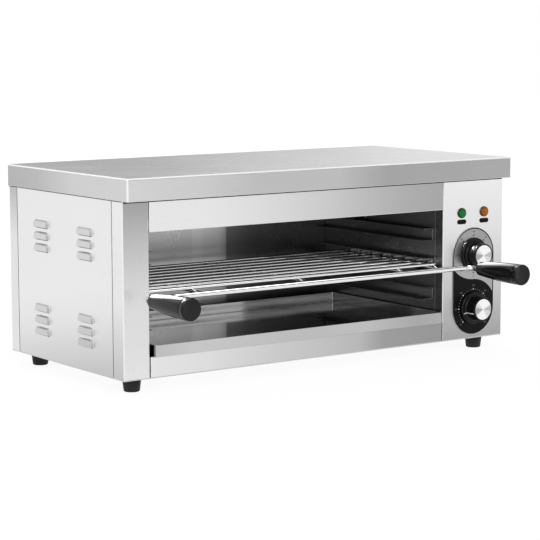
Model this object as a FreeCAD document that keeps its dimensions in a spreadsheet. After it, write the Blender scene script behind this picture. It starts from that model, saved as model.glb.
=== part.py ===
import FreeCAD, Part
import math
import operator
import os
import types

import Sketcher
from FreeCAD import Placement, Rotation, Vector

# A table-top electric salamander grill: a folded stainless cabinet with an open heating chamber,
# a sliding wire rack with a handle bar, a crumb tray, and a control compartment on the right.
# Millimetres. +X is the user's right, +Y runs from the front to the back, +Z is up. The origin is
# on the table, under the middle of the whole grill, so Y = 0 lies between the grips and the gland.

# Driving dimensions

SIZES = {
    "body_width": 606.0,            # cabinet, outside of the folded side skins
    "body_depth": 285.0,            # cabinet, front skin to rear skin
    "body_height": 218.0,           # cabinet underside to the lower edge of the cover
    "sheet": 1.2,                   # stainless sheet of the cabinet and the chamber
    "bend_radius": 1.5,             # outer radius of a folded edge
    "seam": 0.6,                    # gap between two neighbouring skins
    "foot_height": 18.0,
    "foot_top_radius": 12.0,
    "foot_bottom_radius": 10.0,
    "foot_inset": 27.0,             # foot axis to the cabinet's sides
    "foot_screw_radius": 3.0,
    "foot_recess_radius": 6.2,      # counterbore that hides the screw head
    "foot_recess_depth": 8.0,
    "foot_edge": 1.0,               # chamfer of a foot's lower edge
    "foot_head": 3.5,               # height of a foot screw's head
    "foot_head_gap": 0.8,
    "foot_nut_radius": 5.6,
    "foot_nut": 4.8,
    "base_flange": 12.0,            # upturned edge of the base plate
    "base_edge": 0.4,               # base plate inside the skins' outer faces
    "cover_height": 28.0,
    "cover_front": 15.0,            # cover overhang over the cabinet's front
    "cover_side": 1.6,              # cover overhang at both sides and the rear
    "cover_edge": 2.5,              # rounding of the cover's edges
    "cover_screw": 9.0,             # rear screws above the cover's lower edge
    "post_width": 37.0,             # face of the left front post
    "post_return": 24.5,            # folded side strip at the front corners
    "mouth_return": 16.0,           # fold back into the chamber mouth
    "rear_return": 21.0,            # folded side strip at the rear corners
    "seam_lap": 8.0,                # strip behind the seam beside a side panel
    "panel_width": 106.0,           # face of the control panel
    "mouth_top": 178.5,             # lower edge of the upper fascia above the cabinet underside
    "sill": 26.5,                   # chamber floor above the cabinet underside
    "fascia_return": 12.0,
    "fascia_bend": 1.1,             # outer radius of the upper fascia's fold
    "fascia_seam": 1.0,             # gap at the ends of the lower fascia
    "chamber_rear": 23.0,           # chamber's back wall before the rear skin
    "ceiling": 208.0,               # chamber ceiling above the cabinet underside
    "wall_flange": 12.0,
    "runner_first": 55.5,           # underside of the lowest runner above the cabinet underside
    "runner_pitch": 40.0,
    "runner_height": 17.0,
    "runner_width": 16.0,
    "runner_setback": 20.0,         # runner's front end behind the front skin
    "rack_gap": 0.3,                # running gap under the rack's side rods
    "rack_side_gap": 2.0,           # side rods to the runners' webs
    "frame_rod": 3.0,               # radius of the rack's frame
    "frame_bend": 9.0,
    "grid_rod": 2.0,                # radius of the rack's cross rods
    "grid_first": 11.0,             # first cross rod behind the front skin
    "grid_pitch": 24.5,
    "grid_end": 2.0,                # cross rods beyond the side rods
    "weld_gap": 0.02,               # hairline between two welded round rods
    "grid_margin": 12.0,            # rear frame rod behind the last cross rod
    "support_rod": 2.0,             # radius of the wires under the cross rods
    "support_pitch": 162.0,
    "bar_rod": 3.5,                 # radius of the handle bar
    "bar_standoff": 14.0,           # handle bar's axis before the front skin
    "bar_bend": 10.0,
    "bar_left": 22.5,               # left grip's axis from the cabinet's left side
    "bar_right": 68.0,              # right grip's axis from the cabinet's right side
    "ferrule_length": 8.0,
    "ferrule_radius": 4.8,
    "grip_length": 84.0,
    "grip_rear_radius": 9.0,
    "grip_front_radius": 13.8,
    "grip_belly_rear": 0.8,         # how far a grip bulges beyond a straight taper, at a third
    "grip_belly_front": 1.0,        # and at two thirds of its cone
    "grip_collar": 6.0,             # straight stretch at a grip's front end
    "grip_rear_edge": 3.0,
    "grip_front_edge": 1.6,
    "grip_bore_depth": 40.0,
    "grip_fit": 0.05,
    "tray_sheet": 1.0,
    "tray_height": 14.6,
    "tray_side_gap": 4.0,
    "tray_lip": 6.0,                # tray's front wall before the front skin
    "tray_rear": 24.0,              # tray's rear end before the chamber's back wall
    "tray_corner": 3.5,
    "tray_gap": 0.3,                # running gap under the tray
    "knob_inset": 52.5,             # knob axes from the cabinet's right side
    "timer_height": 115.5,          # upper knob's axis above the cabinet underside
    "heat_height": 42.0,            # lower knob's axis above the cabinet underside
    "dial_radius": 36.2,
    "dial_sheet": 1.0,
    "knob_gap": 0.5,                # running gap behind a knob
    "knob_skirt_radius": 22.4,
    "knob_skirt": 3.6,
    "knob_bevel": 1.8,              # slope round the skirt's edge
    "knob_cove": 3.0,               # hollow between the skirt and the grip
    "knob_radius": 16.2,
    "knob_taper": 1.0,
    "knob_length": 20.5,
    "knob_rim": 0.5,                # chamfer of the rim round the cap
    "knob_cap_radius": 14.4,
    "knob_cap": 1.2,
    "knob_web": 5.0,                # solid front of a knob before its shaft bore
    "shaft_radius": 3.0,
    "shaft_gap": 0.08,
    "shaft_hole": 5.4,              # radius of the shaft holes in panel and dial
    "shaft_inside": 10.0,           # length of a shaft inside its control
    "shaft_end": 0.5,               # gap between a shaft's end and the end of its bore
    "bushing_radius": 4.6,
    "timer_body": 46.0,
    "timer_depth": 34.0,
    "thermostat_body": 40.0,
    "thermostat_depth": 42.0,
    "lamp_inset": 53.5,             # middle between the lamps from the cabinet's right side
    "lamp_height": 172.5,
    "lamp_spacing": 39.6,
    "lamp_radius": 7.0,
    "lamp_rim": 0.8,                # straight edge of a lens before its dome
    "lamp_dome": 3.2,
    "lamp_body_radius": 5.5,
    "lamp_body_length": 30.0,
    "lamp_fit": 0.2,
    "label_drop": 12.0,             # centre of a lamp label under the lamp
    "label_width": 15.8,
    "label_height": 6.2,
    "label_sheet": 0.4,
    "louvre_length": 36.0,
    "louvre_height": 9.6,
    "louvre_depth": 3.0,
    "louvre_pitch": 15.2,
    "louvre_corner": 4.0,
    "louvre_slope": 2.1,            # how far a louvre's sides and top lean in
    "louvre_skin": 1.0,             # sheet left in the pressed hood
    "louvre_columns": 110.0,        # between the two columns of louvres
    "louvre_upper": 160.0,          # middle louvre of the upper group above the cabinet underside
    "louvre_lower": 52.0,
    "element_drop": 18.0,           # heating tubes' axes under the chamber ceiling
    "element_radius": 3.25,
    "element_first": 62.0,          # first tube behind the front skin
    "element_pitch": 46.0,
    "element_left": 30.0,           # bend of the tubes from the chamber's left wall
    "element_tail": 24.0,           # tubes beyond the chamber's right wall
    "bushing_ring": 6.5,
    "bushing_length": 13.0,
    "terminal_radius": 2.0,
    "terminal_length": 10.0,
    "bracket_sheet": 1.5,
    "bracket_drop": 28.0,           # lower edge of the tube brackets under the chamber ceiling
    "bracket_pitch": 131.0,
    "bracket_margin": 14.0,
    "bracket_fit": 0.25,
    "bulb_radius": 3.0,
    "bulb_length": 70.0,
    "bulb_rise": 6.0,               # thermostat bulb's axis above the upper runners
    "bulb_rear": 30.0,              # thermostat bulb's rear end from the chamber's back wall
    "clip_sheet": 0.8,
    "clip_width": 6.0,
    "clip_tab": 12.0,
    "capillary_radius": 0.9,
    "capillary_bend": 3.0,
    "capillary_lead": 16.0,         # from the bulb to the capillary's hole in the wall
    "gland_height": 42.0,
    "gland_radius": 11.0,
    "gland_reach": 12.0,            # gland behind the rear skin
    "gland_collar": 5.4,
    "gland_nose": 6.6,              # radius of the gland's rear end
    "gland_thread": 8.0,            # radius of the gland's stem
    "gland_stem": 8.0,              # stem inside the rear skin
    "gland_nut_radius": 10.2,
    "gland_nut": 4.4,
    "cord_radius": 4.2,
    "stud_spacing": 34.0,
    "stud_radius": 2.5,
    "stud_inside": 6.0,
    "stud_washer": 1.0,
    "stud_washer_radius": 5.5,
    "stud_nut": 3.0,
    "stud_nut_radius": 4.6,
    "stud_free": 4.0,               # stud beyond its nut
    "block_length": 46.0,
    "block_width": 20.0,
    "block_height": 18.0,
    "block_rear": 40.0,             # terminal block before the rear skin
    "block_pitch": 14.5,
    "block_well": 8.0,
    "screw_radius": 1.9,
    "screw_head": 3.8,
    "screw_head_height": 1.8,
    "screw_length": 8.0,
    "screw_fit": 0.25,
    "screw_inset": 30.0,
    "slot_length": 36.0,
    "slot_width": 4.0,
    "slot_pitch": 12.0,
    "slot_first": 71.0,             # first cooling slot behind the front skin
}

CROSS_RODS = 9
LEVELS = ("lower", "middle", "upper")
RACK_LEVEL = 1
TUBES = 4
BRACKETS = 3
FLOOR_SLOTS = 6
THROUGH = 3                         # length of a hole's tool, in thicknesses of its sheet

UP = Rotation()
ACROSS = Rotation(Vector(1, 1, 1), 120)       # local X, Y, Z run along +Y, +Z, +X
TO_FRONT = Rotation(Vector(1, 0, 0), 90)      # local X, Y, Z run along +X, +Z, -Y
ALONG_X = Rotation(Vector(0, 1, 0), 90)       # local Z runs along +X
ALONG_Y = Rotation(Vector(1, 0, 0), -90)      # local Z runs along +Y
TURNED_FRONT = Rotation(Vector(0, 0, 1), 180)  # a turned part's axis runs along -Y
TURNED_BACK = Rotation()                      # a turned part's axis runs along +Y
TURNED_UP = Rotation(Vector(1, 0, 0), 90)     # a turned part's axis runs along +Z

doc = FreeCAD.newDocument("SalamanderGrill")
sheet = doc.addObject("Spreadsheet::Sheet", "Sizes")
for row, (alias, size) in enumerate(SIZES.items(), start=1):
    sheet.set(f"A{row}", alias)
    sheet.set(f"B{row}", str(size))
    sheet.setAlias(f"B{row}", alias)
doc.recompute()


class Size:
    """A length that is known both as a sheet expression and as a number."""

    def __init__(self, text, number):
        self.text = text
        self.number = number

    def __float__(self):
        return float(self.number)

    def __neg__(self):
        return Size(f"(-{self.text})", -self.number)


def arithmetic(symbol, work):
    """The two methods that let a Size stand on either side of an operator."""

    def parts(item):
        return (item.text, item.number) if isinstance(item, Size) else (repr(float(item)), item)

    def combine(one, other):
        (first, a), (second, b) = parts(one), parts(other)
        return Size(f"({first} {symbol} {second})", work(a, b))

    return combine, lambda other, one: combine(one, other)


Size.__add__, Size.__radd__ = arithmetic("+", operator.add)
Size.__sub__, Size.__rsub__ = arithmetic("-", operator.sub)
Size.__mul__, Size.__rmul__ = arithmetic("*", operator.mul)
Size.__truediv__, Size.__rtruediv__ = arithmetic("/", operator.truediv)

S = types.SimpleNamespace(**{a: Size(f"Sizes.{a}", float(sheet.get(a))) for a in SIZES})
ZERO = Size("0", 0.0)

# Places that the driving dimensions give

grip_reach = S.bar_standoff + S.bar_bend + S.ferrule_length + S.grip_length
whole_depth = grip_reach + S.body_depth + S.gland_reach
left = -S.body_width / 2
right = S.body_width / 2
front = grip_reach - whole_depth / 2
back = front + S.body_depth
under = S.foot_height
skirt = under + S.body_height
top = skirt + S.cover_height
lid = top - S.sheet
skin_foot = under + S.sheet
skin_height = lid - skin_foot
mouth_left = left + S.post_width
mouth_right = right - S.panel_width
mouth_width = S.body_width - S.post_width - S.panel_width
mouth_middle = (mouth_left + mouth_right) / 2
sill = under + S.sill
ceiling = under + S.ceiling
chamber_depth = S.body_depth - S.chamber_rear
chamber_back = front + chamber_depth
knob_x = right - S.knob_inset
timer_z = under + S.timer_height
heat_z = under + S.heat_height
lamp_x = right - S.lamp_inset
lamp_z = under + S.lamp_height
rack_runner = under + S.runner_first + RACK_LEVEL * S.runner_pitch
rack_z = rack_runner + S.sheet + S.rack_gap + S.frame_rod
grid_z = rack_z + S.frame_rod + S.grid_rod + S.weld_gap
support_z = grid_z - S.grid_rod - S.support_rod - S.weld_gap
side_rod_inset = S.sheet + S.rack_side_gap + S.frame_rod
rack_left = mouth_left + side_rod_inset
rack_right = mouth_right - side_rod_inset
rack_rear = front + S.grid_first + (CROSS_RODS - 1) * S.grid_pitch + S.grid_margin
bar_y = front - S.bar_standoff
bar_left = left + S.bar_left
bar_right = right - S.bar_right
ferrule_y = bar_y - S.bar_bend
grip_y = ferrule_y - S.ferrule_length
element_z = ceiling - S.element_drop
runner_top = under + S.runner_first + (len(LEVELS) - 1) * S.runner_pitch + S.runner_height
bulb_z = runner_top + S.bulb_rise
bulb_front = chamber_back - S.bulb_rear - S.bulb_length
capillary_y = bulb_front - S.capillary_lead
gland_z = under + S.gland_height

published = []

# Building helpers


def bind(item, field, size):
    """Ties a property to the sheet, or sets it when the size is a plain number."""
    if isinstance(size, Size):
        item.setExpression(field, size.text)
    elif "." in field:
        item.setExpression(field, repr(float(size)))
    else:
        setattr(item, field, size)


def place(item, at, turn=UP):
    """Turns an item and keeps its origin at three sheet coordinates."""
    item.Placement = Placement(Vector(*[float(c) for c in at]), turn)
    for axis, coordinate in zip("xyz", at):
        bind(item, "Placement.Base." + axis, coordinate)
    return item


def publish(item, node):
    """Gives a finished piece the name of its file."""
    item.Label = node
    published.append(item)
    return item


def box(name, lengths, at):
    item = doc.addObject("Part::Box", name)
    for field, size in zip(("Length", "Width", "Height"), lengths):
        bind(item, field, size)
    return place(item, at)


def cylinder(name, radius, length, at, turn=UP):
    item = doc.addObject("Part::Cylinder", name)
    bind(item, "Radius", radius)
    bind(item, "Height", length)
    return place(item, at, turn)


def heading(start, end):
    """The axis and the sign of a run between two points that differ in one coordinate."""
    axis = next(i for i in range(3) if abs(float(end[i]) - float(start[i])) > 1e-9)
    return axis, 1 if float(end[axis]) > float(start[axis]) else -1


def along(point, run, distance):
    """A point moved by a distance along a run."""
    axis, sign = run
    return tuple(c + sign * distance if i == axis else c for i, c in enumerate(point))


def direction(run):
    axis, sign = run
    return Vector(*[sign if i == axis else 0 for i in range(3)])


def rod(name, radius, bend, points):
    """A round rod along straight runs, with a quarter bend at every inner point."""
    runs = [heading(a, b) for a, b in zip(points, points[1:])]
    pieces = []
    for i, run in enumerate(runs):
        axis, sign = run
        start = points[i] if i == 0 else along(points[i], run, bend)
        end = points[i + 1] if run is runs[-1] else along(points[i + 1], run, -bend)
        length = sign * (end[axis] - start[axis])
        if float(length) > 1e-6:
            turn = Rotation(Vector(0, 0, 1), direction(run))
            pieces.append(cylinder(name + "_run", radius, length, start, turn))
        if i > 0:
            came = runs[i - 1]
            centre = along(along(points[i], came, -bend), run, bend)
            x_axis, y_axis = -direction(run), direction(came)
            elbow = doc.addObject("Part::Torus", name + "_bend")
            bind(elbow, "Radius1", bend)
            bind(elbow, "Radius2", radius)
            elbow.Angle3 = 90
            pieces.append(place(elbow, centre, Rotation(x_axis, y_axis, x_axis.cross(y_axis), "XYZ")))
    return joined(name, pieces)


def joined(name, items):
    item = doc.addObject("Part::MultiFuse", name)
    item.Shapes = list(items)
    return item


def grouped(name, items):
    item = doc.addObject("Part::Compound", name)
    item.Links = list(items)
    return item


def cut(name, base, tools):
    """The base without its tools, which are joined first when there are several."""
    item = doc.addObject("Part::Cut", name)
    item.Base = base
    item.Tool = tools[0] if len(tools) == 1 else joined(name + "_tools", tools)
    return item


def rounded(name, base, radius, wanted):
    """Rounds the edges of the base that the wanted test picks."""
    doc.recompute()
    item = doc.addObject("Part::Fillet", name)
    item.Base = base
    picked = [i for i, edge in enumerate(base.Shape.Edges, start=1) if wanted(edge)]
    item.Edges = [(i, float(radius), float(radius)) for i in picked]
    return item


def hold(sketch, corner, kind, size, axis):
    """Keeps a sketch corner on an axis, or at a sheet distance from the origin."""
    if float(size) == 0:
        sketch.addConstraint(Sketcher.Constraint("PointOnObject", corner, 1, axis))
        return
    index = sketch.addConstraint(Sketcher.Constraint(kind, -1, 1, corner, 1, float(size)))
    if isinstance(size, Size):
        sketch.setExpression(f"Constraints[{index}]", size.text)


def outline(body, corners):
    """A closed outline on the body's XY plane, fully held by the sheet."""
    sketch = body.newObject("Sketcher::SketchObject", body.Name + "_outline")
    plane = next(item for item in body.Origin.OriginFeatures if item.Role == "XY_Plane")
    sketch.AttachmentSupport = (plane, [""])
    sketch.MapMode = "FlatFace"
    points = [Vector(float(x), float(y), 0) for x, y in corners]
    count = len(points)
    lines = [Part.LineSegment(points[i], points[(i + 1) % count]) for i in range(count)]
    sketch.addGeometry(lines, False)
    for i in range(count):
        sketch.addConstraint(Sketcher.Constraint("Coincident", i, 2, (i + 1) % count, 1))
    for i, (x, y) in enumerate(corners):
        hold(sketch, i, "DistanceX", x, -2)
        hold(sketch, i, "DistanceY", y, -1)
    return sketch


def padded(name, corners, length, at, turn=UP):
    """A body whose outline is drawn in its XY plane and padded along its Z axis."""
    body = doc.addObject("PartDesign::Body", name)
    pad = body.newObject("PartDesign::Pad", name + "_pad")
    pad.Profile = outline(body, corners)
    bind(pad, "Length", length)
    return place(body, at, turn)


def turned(name, corners, at, turn):
    """A body turned about its Y axis. Corners are (radius, distance along the axis)."""
    body = doc.addObject("PartDesign::Body", name)
    sketch = outline(body, corners)
    revolution = body.newObject("PartDesign::Revolution", name + "_turn")
    revolution.Profile = sketch
    revolution.ReferenceAxis = (sketch, ["V_Axis"])
    revolution.Angle = 360
    return place(body, at, turn)


def round_corners(centre, radius, start, end, steps):
    """Corners along a round edge of a turned outline, between two angles in degrees."""
    across, up = centre
    turns = [math.radians(start + (end - start) * i / steps) for i in range(steps + 1)]
    return [(across + radius * round(math.cos(a), 6), up + radius * round(math.sin(a), 6)) for a in turns]


def lies_at(edge, z):
    """True for an edge that lies in the level plane at z."""
    return all(abs(vertex.Point.z - float(z)) < 1e-4 for vertex in edge.Vertexes)


def on_bend(edge, axis, *limits):
    """True for a straight edge along an axis, at the given places on other axes."""
    start, end = edge.Vertexes[0].Point, edge.Vertexes[-1].Point
    run = end - start
    others = [a for a in "xyz" if a != axis]
    straight = all(abs(getattr(run, a)) < 1e-6 for a in others) and edge.Length > 1
    return straight and all(abs(getattr(start, a) - float(c)) < 1e-4 for a, c in limits)


# Cabinet skins


def base_plate():
    """The bottom pan: upturned at the sides and the rear, with foot holes and cooling slots."""
    edge = S.base_edge
    plate = box("base_sheet", (S.body_width - 2 * edge, S.body_depth - 2 * edge, S.sheet),
                (left + edge, front + edge, under))
    run = S.body_depth - S.post_return - S.sheet - S.seam
    flanges = [box("base_side_flange", (S.sheet, run, S.base_flange), (x, front + S.post_return, skin_foot))
               for x in (left + S.sheet, right - 2 * S.sheet)]
    rear = box("base_rear_flange", (S.body_width - 4 * S.sheet, S.sheet, S.base_flange),
               (left + 2 * S.sheet, back - 2 * S.sheet, skin_foot))
    holes = [cylinder("foot_hole", S.foot_screw_radius + S.screw_fit, THROUGH * S.sheet,
                      (x, y, under - S.sheet)) for x, y in foot_places()]
    slots = [box("floor_slot", (S.slot_length, S.slot_width, THROUGH * S.sheet),
                 (knob_x - S.slot_length / 2, front + S.slot_first + i * S.slot_pitch,
                  under - S.sheet)) for i in range(FLOOR_SLOTS)]
    pan = joined("base_pan", [plate, rear] + flanges)
    publish(cut("base_cut", pan, holes + slots + rear_screw_holes()), "base_plate")


def foot_places():
    """The axes of the four feet."""
    inset = S.foot_inset
    return [(x, y) for x in (left + inset, right - inset) for y in (front + inset, back - inset)]


def front_skins():
    """The left post and the control panel, each one sheet folded back at both sides."""
    t = S.sheet
    post = padded("post_fold", [
        (ZERO, ZERO), (S.post_width, ZERO), (S.post_width, S.mouth_return),
        (S.post_width - t, S.mouth_return), (S.post_width - t, t), (t, t),
        (t, S.post_return), (ZERO, S.post_return)], skin_height, (left, front, skin_foot))
    publish(rounded("post_bends", post, S.bend_radius, lambda edge: on_bend(edge, "z", ("y", front))),
            "left_post")

    panel = padded("panel_fold", [
        (ZERO, ZERO), (S.panel_width, ZERO), (S.panel_width, S.post_return),
        (S.panel_width - t, S.post_return), (S.panel_width - t, t), (t, t),
        (t, S.mouth_return), (ZERO, S.mouth_return)], skin_height, (mouth_right, front, skin_foot))
    bent = rounded("panel_bends", panel, S.bend_radius, lambda edge: on_bend(edge, "z", ("y", front)))
    holes = [cylinder("shaft_hole", S.shaft_hole, THROUGH * t, (knob_x, front - t, z), ALONG_Y)
             for z in (timer_z, heat_z)]
    holes += [cylinder("lamp_hole", S.lamp_body_radius + S.lamp_fit, THROUGH * t,
                       (x, front - t, lamp_z), ALONG_Y) for x in lamp_places()]
    publish(cut("panel_cut", bent, holes), "control_panel")


def lamp_places():
    return lamp_x - S.lamp_spacing / 2, lamp_x + S.lamp_spacing / 2


def fascias():
    """The two strips above and below the chamber mouth, each folded back along one edge."""
    t, fold = S.sheet, S.fascia_return
    tall = lid - (under + S.mouth_top)
    upper = padded("upper_fold", [(ZERO, ZERO), (fold, ZERO), (fold, t), (t, t), (t, tall), (ZERO, tall)],
                   mouth_width - 2 * S.seam, (mouth_left + S.seam, front, under + S.mouth_top), ACROSS)
    publish(rounded("upper_bend", upper, S.fascia_bend, lambda edge: on_bend(
        edge, "x", ("y", front), ("z", under + S.mouth_top))), "upper_fascia")
    low = sill - skin_foot
    lower = padded("lower_fold", [(ZERO, ZERO), (fold, ZERO), (fold, t), (t, t), (t, low), (ZERO, low)],
                   mouth_width - 2 * S.fascia_seam, (mouth_left + S.fascia_seam, front, skin_foot), ACROSS)
    publish(lower, "lower_fascia")


def louvre_section(length, height, inset, corner, depth, outward):
    """One outline of a louvre: straight below, rounded at its two upper corners."""
    low, high = inset, length - inset
    tall = height - inset
    x = depth * outward
    turn = corner * (1 - math.sqrt(0.5))
    points = [Vector(x, low, 0), Vector(x, high, 0), Vector(x, high, tall - corner),
              Vector(x, high - turn, tall - turn), Vector(x, high - corner, tall),
              Vector(x, low + corner, tall), Vector(x, low + turn, tall - turn),
              Vector(x, low, tall - corner)]
    a, b, c, d, e, f, g, h = points
    return Part.Wire([Part.makeLine(a, b), Part.makeLine(b, c), Part.Arc(c, d, e).toShape(),
                      Part.makeLine(e, f), Part.Arc(f, g, h).toShape(), Part.makeLine(h, a)])


def louvre_solids(outward):
    """The outer hood of a louvre and the space under it, open at the bottom."""
    length, height = float(S.louvre_length), float(S.louvre_height)
    depth, corner = float(S.louvre_depth), float(S.louvre_corner)
    slope, skin = float(S.louvre_slope), float(S.louvre_skin)
    behind = -float(2 * S.sheet)
    hood = Part.makeLoft([louvre_section(length, height, 0, corner, 0, outward),
                          louvre_section(length, height, slope, corner, depth, outward)], True, True)
    inner = Part.makeLoft([louvre_section(length, height, skin, corner, behind, outward),
                           louvre_section(length, height, slope + skin, corner, depth - skin, outward)],
                          True, True)
    inner.translate(Vector(0, 0, -skin))
    return hood, inner


def side_panel(node, outer_x, outward):
    """One side panel with its pressed louvres and the strips that lie behind its two seams."""
    t = S.sheet
    low_y = front + S.post_return + S.seam
    high_y = back - S.rear_return - S.seam
    skin_x = outer_x if outward < 0 else outer_x - t
    lap_x = outer_x + t if outward < 0 else outer_x - 2 * t
    lap_z = skin_foot + S.base_flange + S.seam
    plate = box(node + "_sheet", (t, high_y - low_y, skin_height), (skin_x, low_y, skin_foot))
    laps = [box(node + "_lap", (t, 2 * S.seam_lap, lid - lap_z), (lap_x, y - S.seam_lap, lap_z))
            for y in (low_y, high_y)]
    hood, inner = louvre_solids(outward)
    spots = []
    middle = float(low_y + high_y) / 2
    for column in (-0.5, 0.5):
        for group in (S.louvre_upper, S.louvre_lower):
            for row in (-1, 0, 1):
                y = middle + column * float(S.louvre_columns) - float(S.louvre_length) / 2
                z = float(under + group) + row * float(S.louvre_pitch) - float(S.louvre_height) / 2
                spots.append(Vector(float(outer_x), y, z))
    hoods = doc.addObject("Part::Feature", node + "_hoods")
    hoods.Shape = Part.Compound([hood.translated(spot) for spot in spots])
    voids = doc.addObject("Part::Feature", node + "_voids")
    voids.Shape = Part.Compound([inner.translated(spot) for spot in spots])
    publish(cut(node + "_cut", joined(node + "_pressed", [plate, hoods] + laps), [voids]), node)


def rear_panel():
    """The back skin with its two side returns and the holes for gland, stud and screws."""
    t, fold, wide = S.sheet, S.rear_return, S.body_width
    skin = padded("rear_fold", [
        (ZERO, ZERO), (t, ZERO), (t, fold - t), (wide - t, fold - t), (wide - t, ZERO),
        (wide, ZERO), (wide, fold), (ZERO, fold)], skin_height, (left, back - fold, skin_foot))
    bent = rounded("rear_bends", skin, S.bend_radius, lambda edge: on_bend(edge, "z", ("y", back)))
    holes = [cylinder("gland_hole", S.gland_thread, THROUGH * t,
                      (knob_x, back - 2 * t, gland_z), ALONG_Y),
             cylinder("stud_hole", S.stud_radius, THROUGH * t,
                      (knob_x - S.stud_spacing, back - 2 * t, gland_z), ALONG_Y)]
    publish(cut("rear_cut", bent, holes + rear_screw_holes() + cover_screw_holes()), "rear_panel")


def screw_columns():
    """The three places across the back that hold a screw."""
    return left + S.screw_inset, ZERO, right - S.screw_inset


def rear_screw_z():
    return skin_foot + S.base_flange / 2


def cover_screw_z():
    return skirt + S.cover_screw


def rear_screw_holes():
    return [cylinder("rear_screw_hole", S.screw_radius + S.screw_fit, 6 * S.sheet,
                     (x, back - 4 * S.sheet, rear_screw_z()), ALONG_Y) for x in screw_columns()]


def cover_screw_holes():
    return [cylinder("cover_screw_hole", S.screw_radius + S.screw_fit, 8 * S.sheet,
                     (x, back - 4 * S.sheet, cover_screw_z()), ALONG_Y) for x in screw_columns()]


def top_cover():
    """The lid: a folded tray, upside down, with a lip under its front overhang."""
    t, side = S.sheet, S.cover_side
    wide = S.body_width + 2 * side
    deep = S.body_depth + S.cover_front + side
    block = box("cover_block", (wide, deep, S.cover_height), (left - side, front - S.cover_front, skirt))
    skin = rounded("cover_bends", block, S.cover_edge, lambda edge: not lies_at(edge, skirt))
    below = skirt - t
    hollow = box("cover_hollow", (wide - 2 * t, deep - 2 * t, lid - below),
                 (left - side + t, front - S.cover_front + t, below))
    inside = rounded("cover_inside", hollow, side - t, lambda edge: not lies_at(edge, below))
    lip = box("cover_lip", (wide - 2 * S.cover_edge, S.cover_front - S.seam - t / 2, t),
              (left - side + S.cover_edge, front - S.cover_front + t / 2, skirt))
    shell = cut("cover_shell", skin, [inside])
    publish(cut("cover_cut", joined("cover_lipped", [shell, lip]), cover_screw_holes()), "top_cover")


# Heating chamber


def chamber():
    """Floor, two side walls, back wall and ceiling of the heating chamber."""
    t = S.sheet
    drop = S.fascia_return
    deep = chamber_depth - t
    publish(padded("floor_fold", [
        (ZERO, ZERO), (t, ZERO), (t, drop - t), (deep, drop - t), (deep, drop), (ZERO, drop)],
        mouth_width, (mouth_left, front + t, sill - drop), ACROSS), "chamber_floor")

    tall = ceiling - skin_foot
    run = chamber_depth - S.mouth_return
    flange = S.wall_flange
    publish(padded("left_wall_fold", [
        (ZERO, ZERO), (t, ZERO), (t, tall - t), (flange, tall - t), (flange, tall), (ZERO, tall)],
        run, (mouth_left - t, chamber_back, skin_foot), TO_FRONT), "chamber_left_wall")
    wall = padded("right_wall_fold", [
        (flange - t, ZERO), (flange, ZERO), (flange, tall), (ZERO, tall), (ZERO, tall - t),
        (flange - t, tall - t)],
        run, (mouth_right - flange + t, chamber_back, skin_foot), TO_FRONT)
    holes = [cylinder("element_hole", S.bushing_ring, THROUGH * t,
                      (mouth_right - t, y, element_z), ALONG_X) for y in tube_places()]
    holes.append(cylinder("capillary_hole", S.capillary_radius + S.screw_fit, THROUGH * t,
                          (mouth_right - t, capillary_y, bulb_z), ALONG_X))
    publish(cut("right_wall_cut", wall, holes), "chamber_right_wall")

    publish(box("back_wall", (mouth_width + 2 * t, t, tall), (mouth_left - t, chamber_back, skin_foot)),
            "chamber_back_wall")
    publish(box("ceiling_sheet", (mouth_width, chamber_depth - t, t), (mouth_left, front + t, ceiling)),
            "chamber_ceiling")


def runners():
    """Six folded channels on the chamber walls, one above the other, open towards the rack."""
    t, wide, tall = S.sheet, S.runner_width, S.runner_height
    run = chamber_depth - S.runner_setback
    left_channel = [(ZERO, ZERO), (wide, ZERO), (wide, t), (t, t), (t, tall - t), (wide, tall - t),
                    (wide, tall), (ZERO, tall)]
    right_channel = [(ZERO, ZERO), (wide, ZERO), (wide, tall), (ZERO, tall), (ZERO, tall - t),
                     (wide - t, tall - t), (wide - t, t), (ZERO, t)]
    for i, level in enumerate(LEVELS):
        z = under + S.runner_first + i * S.runner_pitch
        publish(padded("left_channel", left_channel, run, (mouth_left, chamber_back, z), TO_FRONT),
                f"left_runner_{level}")
        publish(padded("right_channel", right_channel, run, (mouth_right - wide, chamber_back, z), TO_FRONT),
                f"right_runner_{level}")


def tube_places():
    """The heating tubes' distances from front to back."""
    return [front + S.element_first + i * S.element_pitch for i in range(TUBES)]


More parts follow.
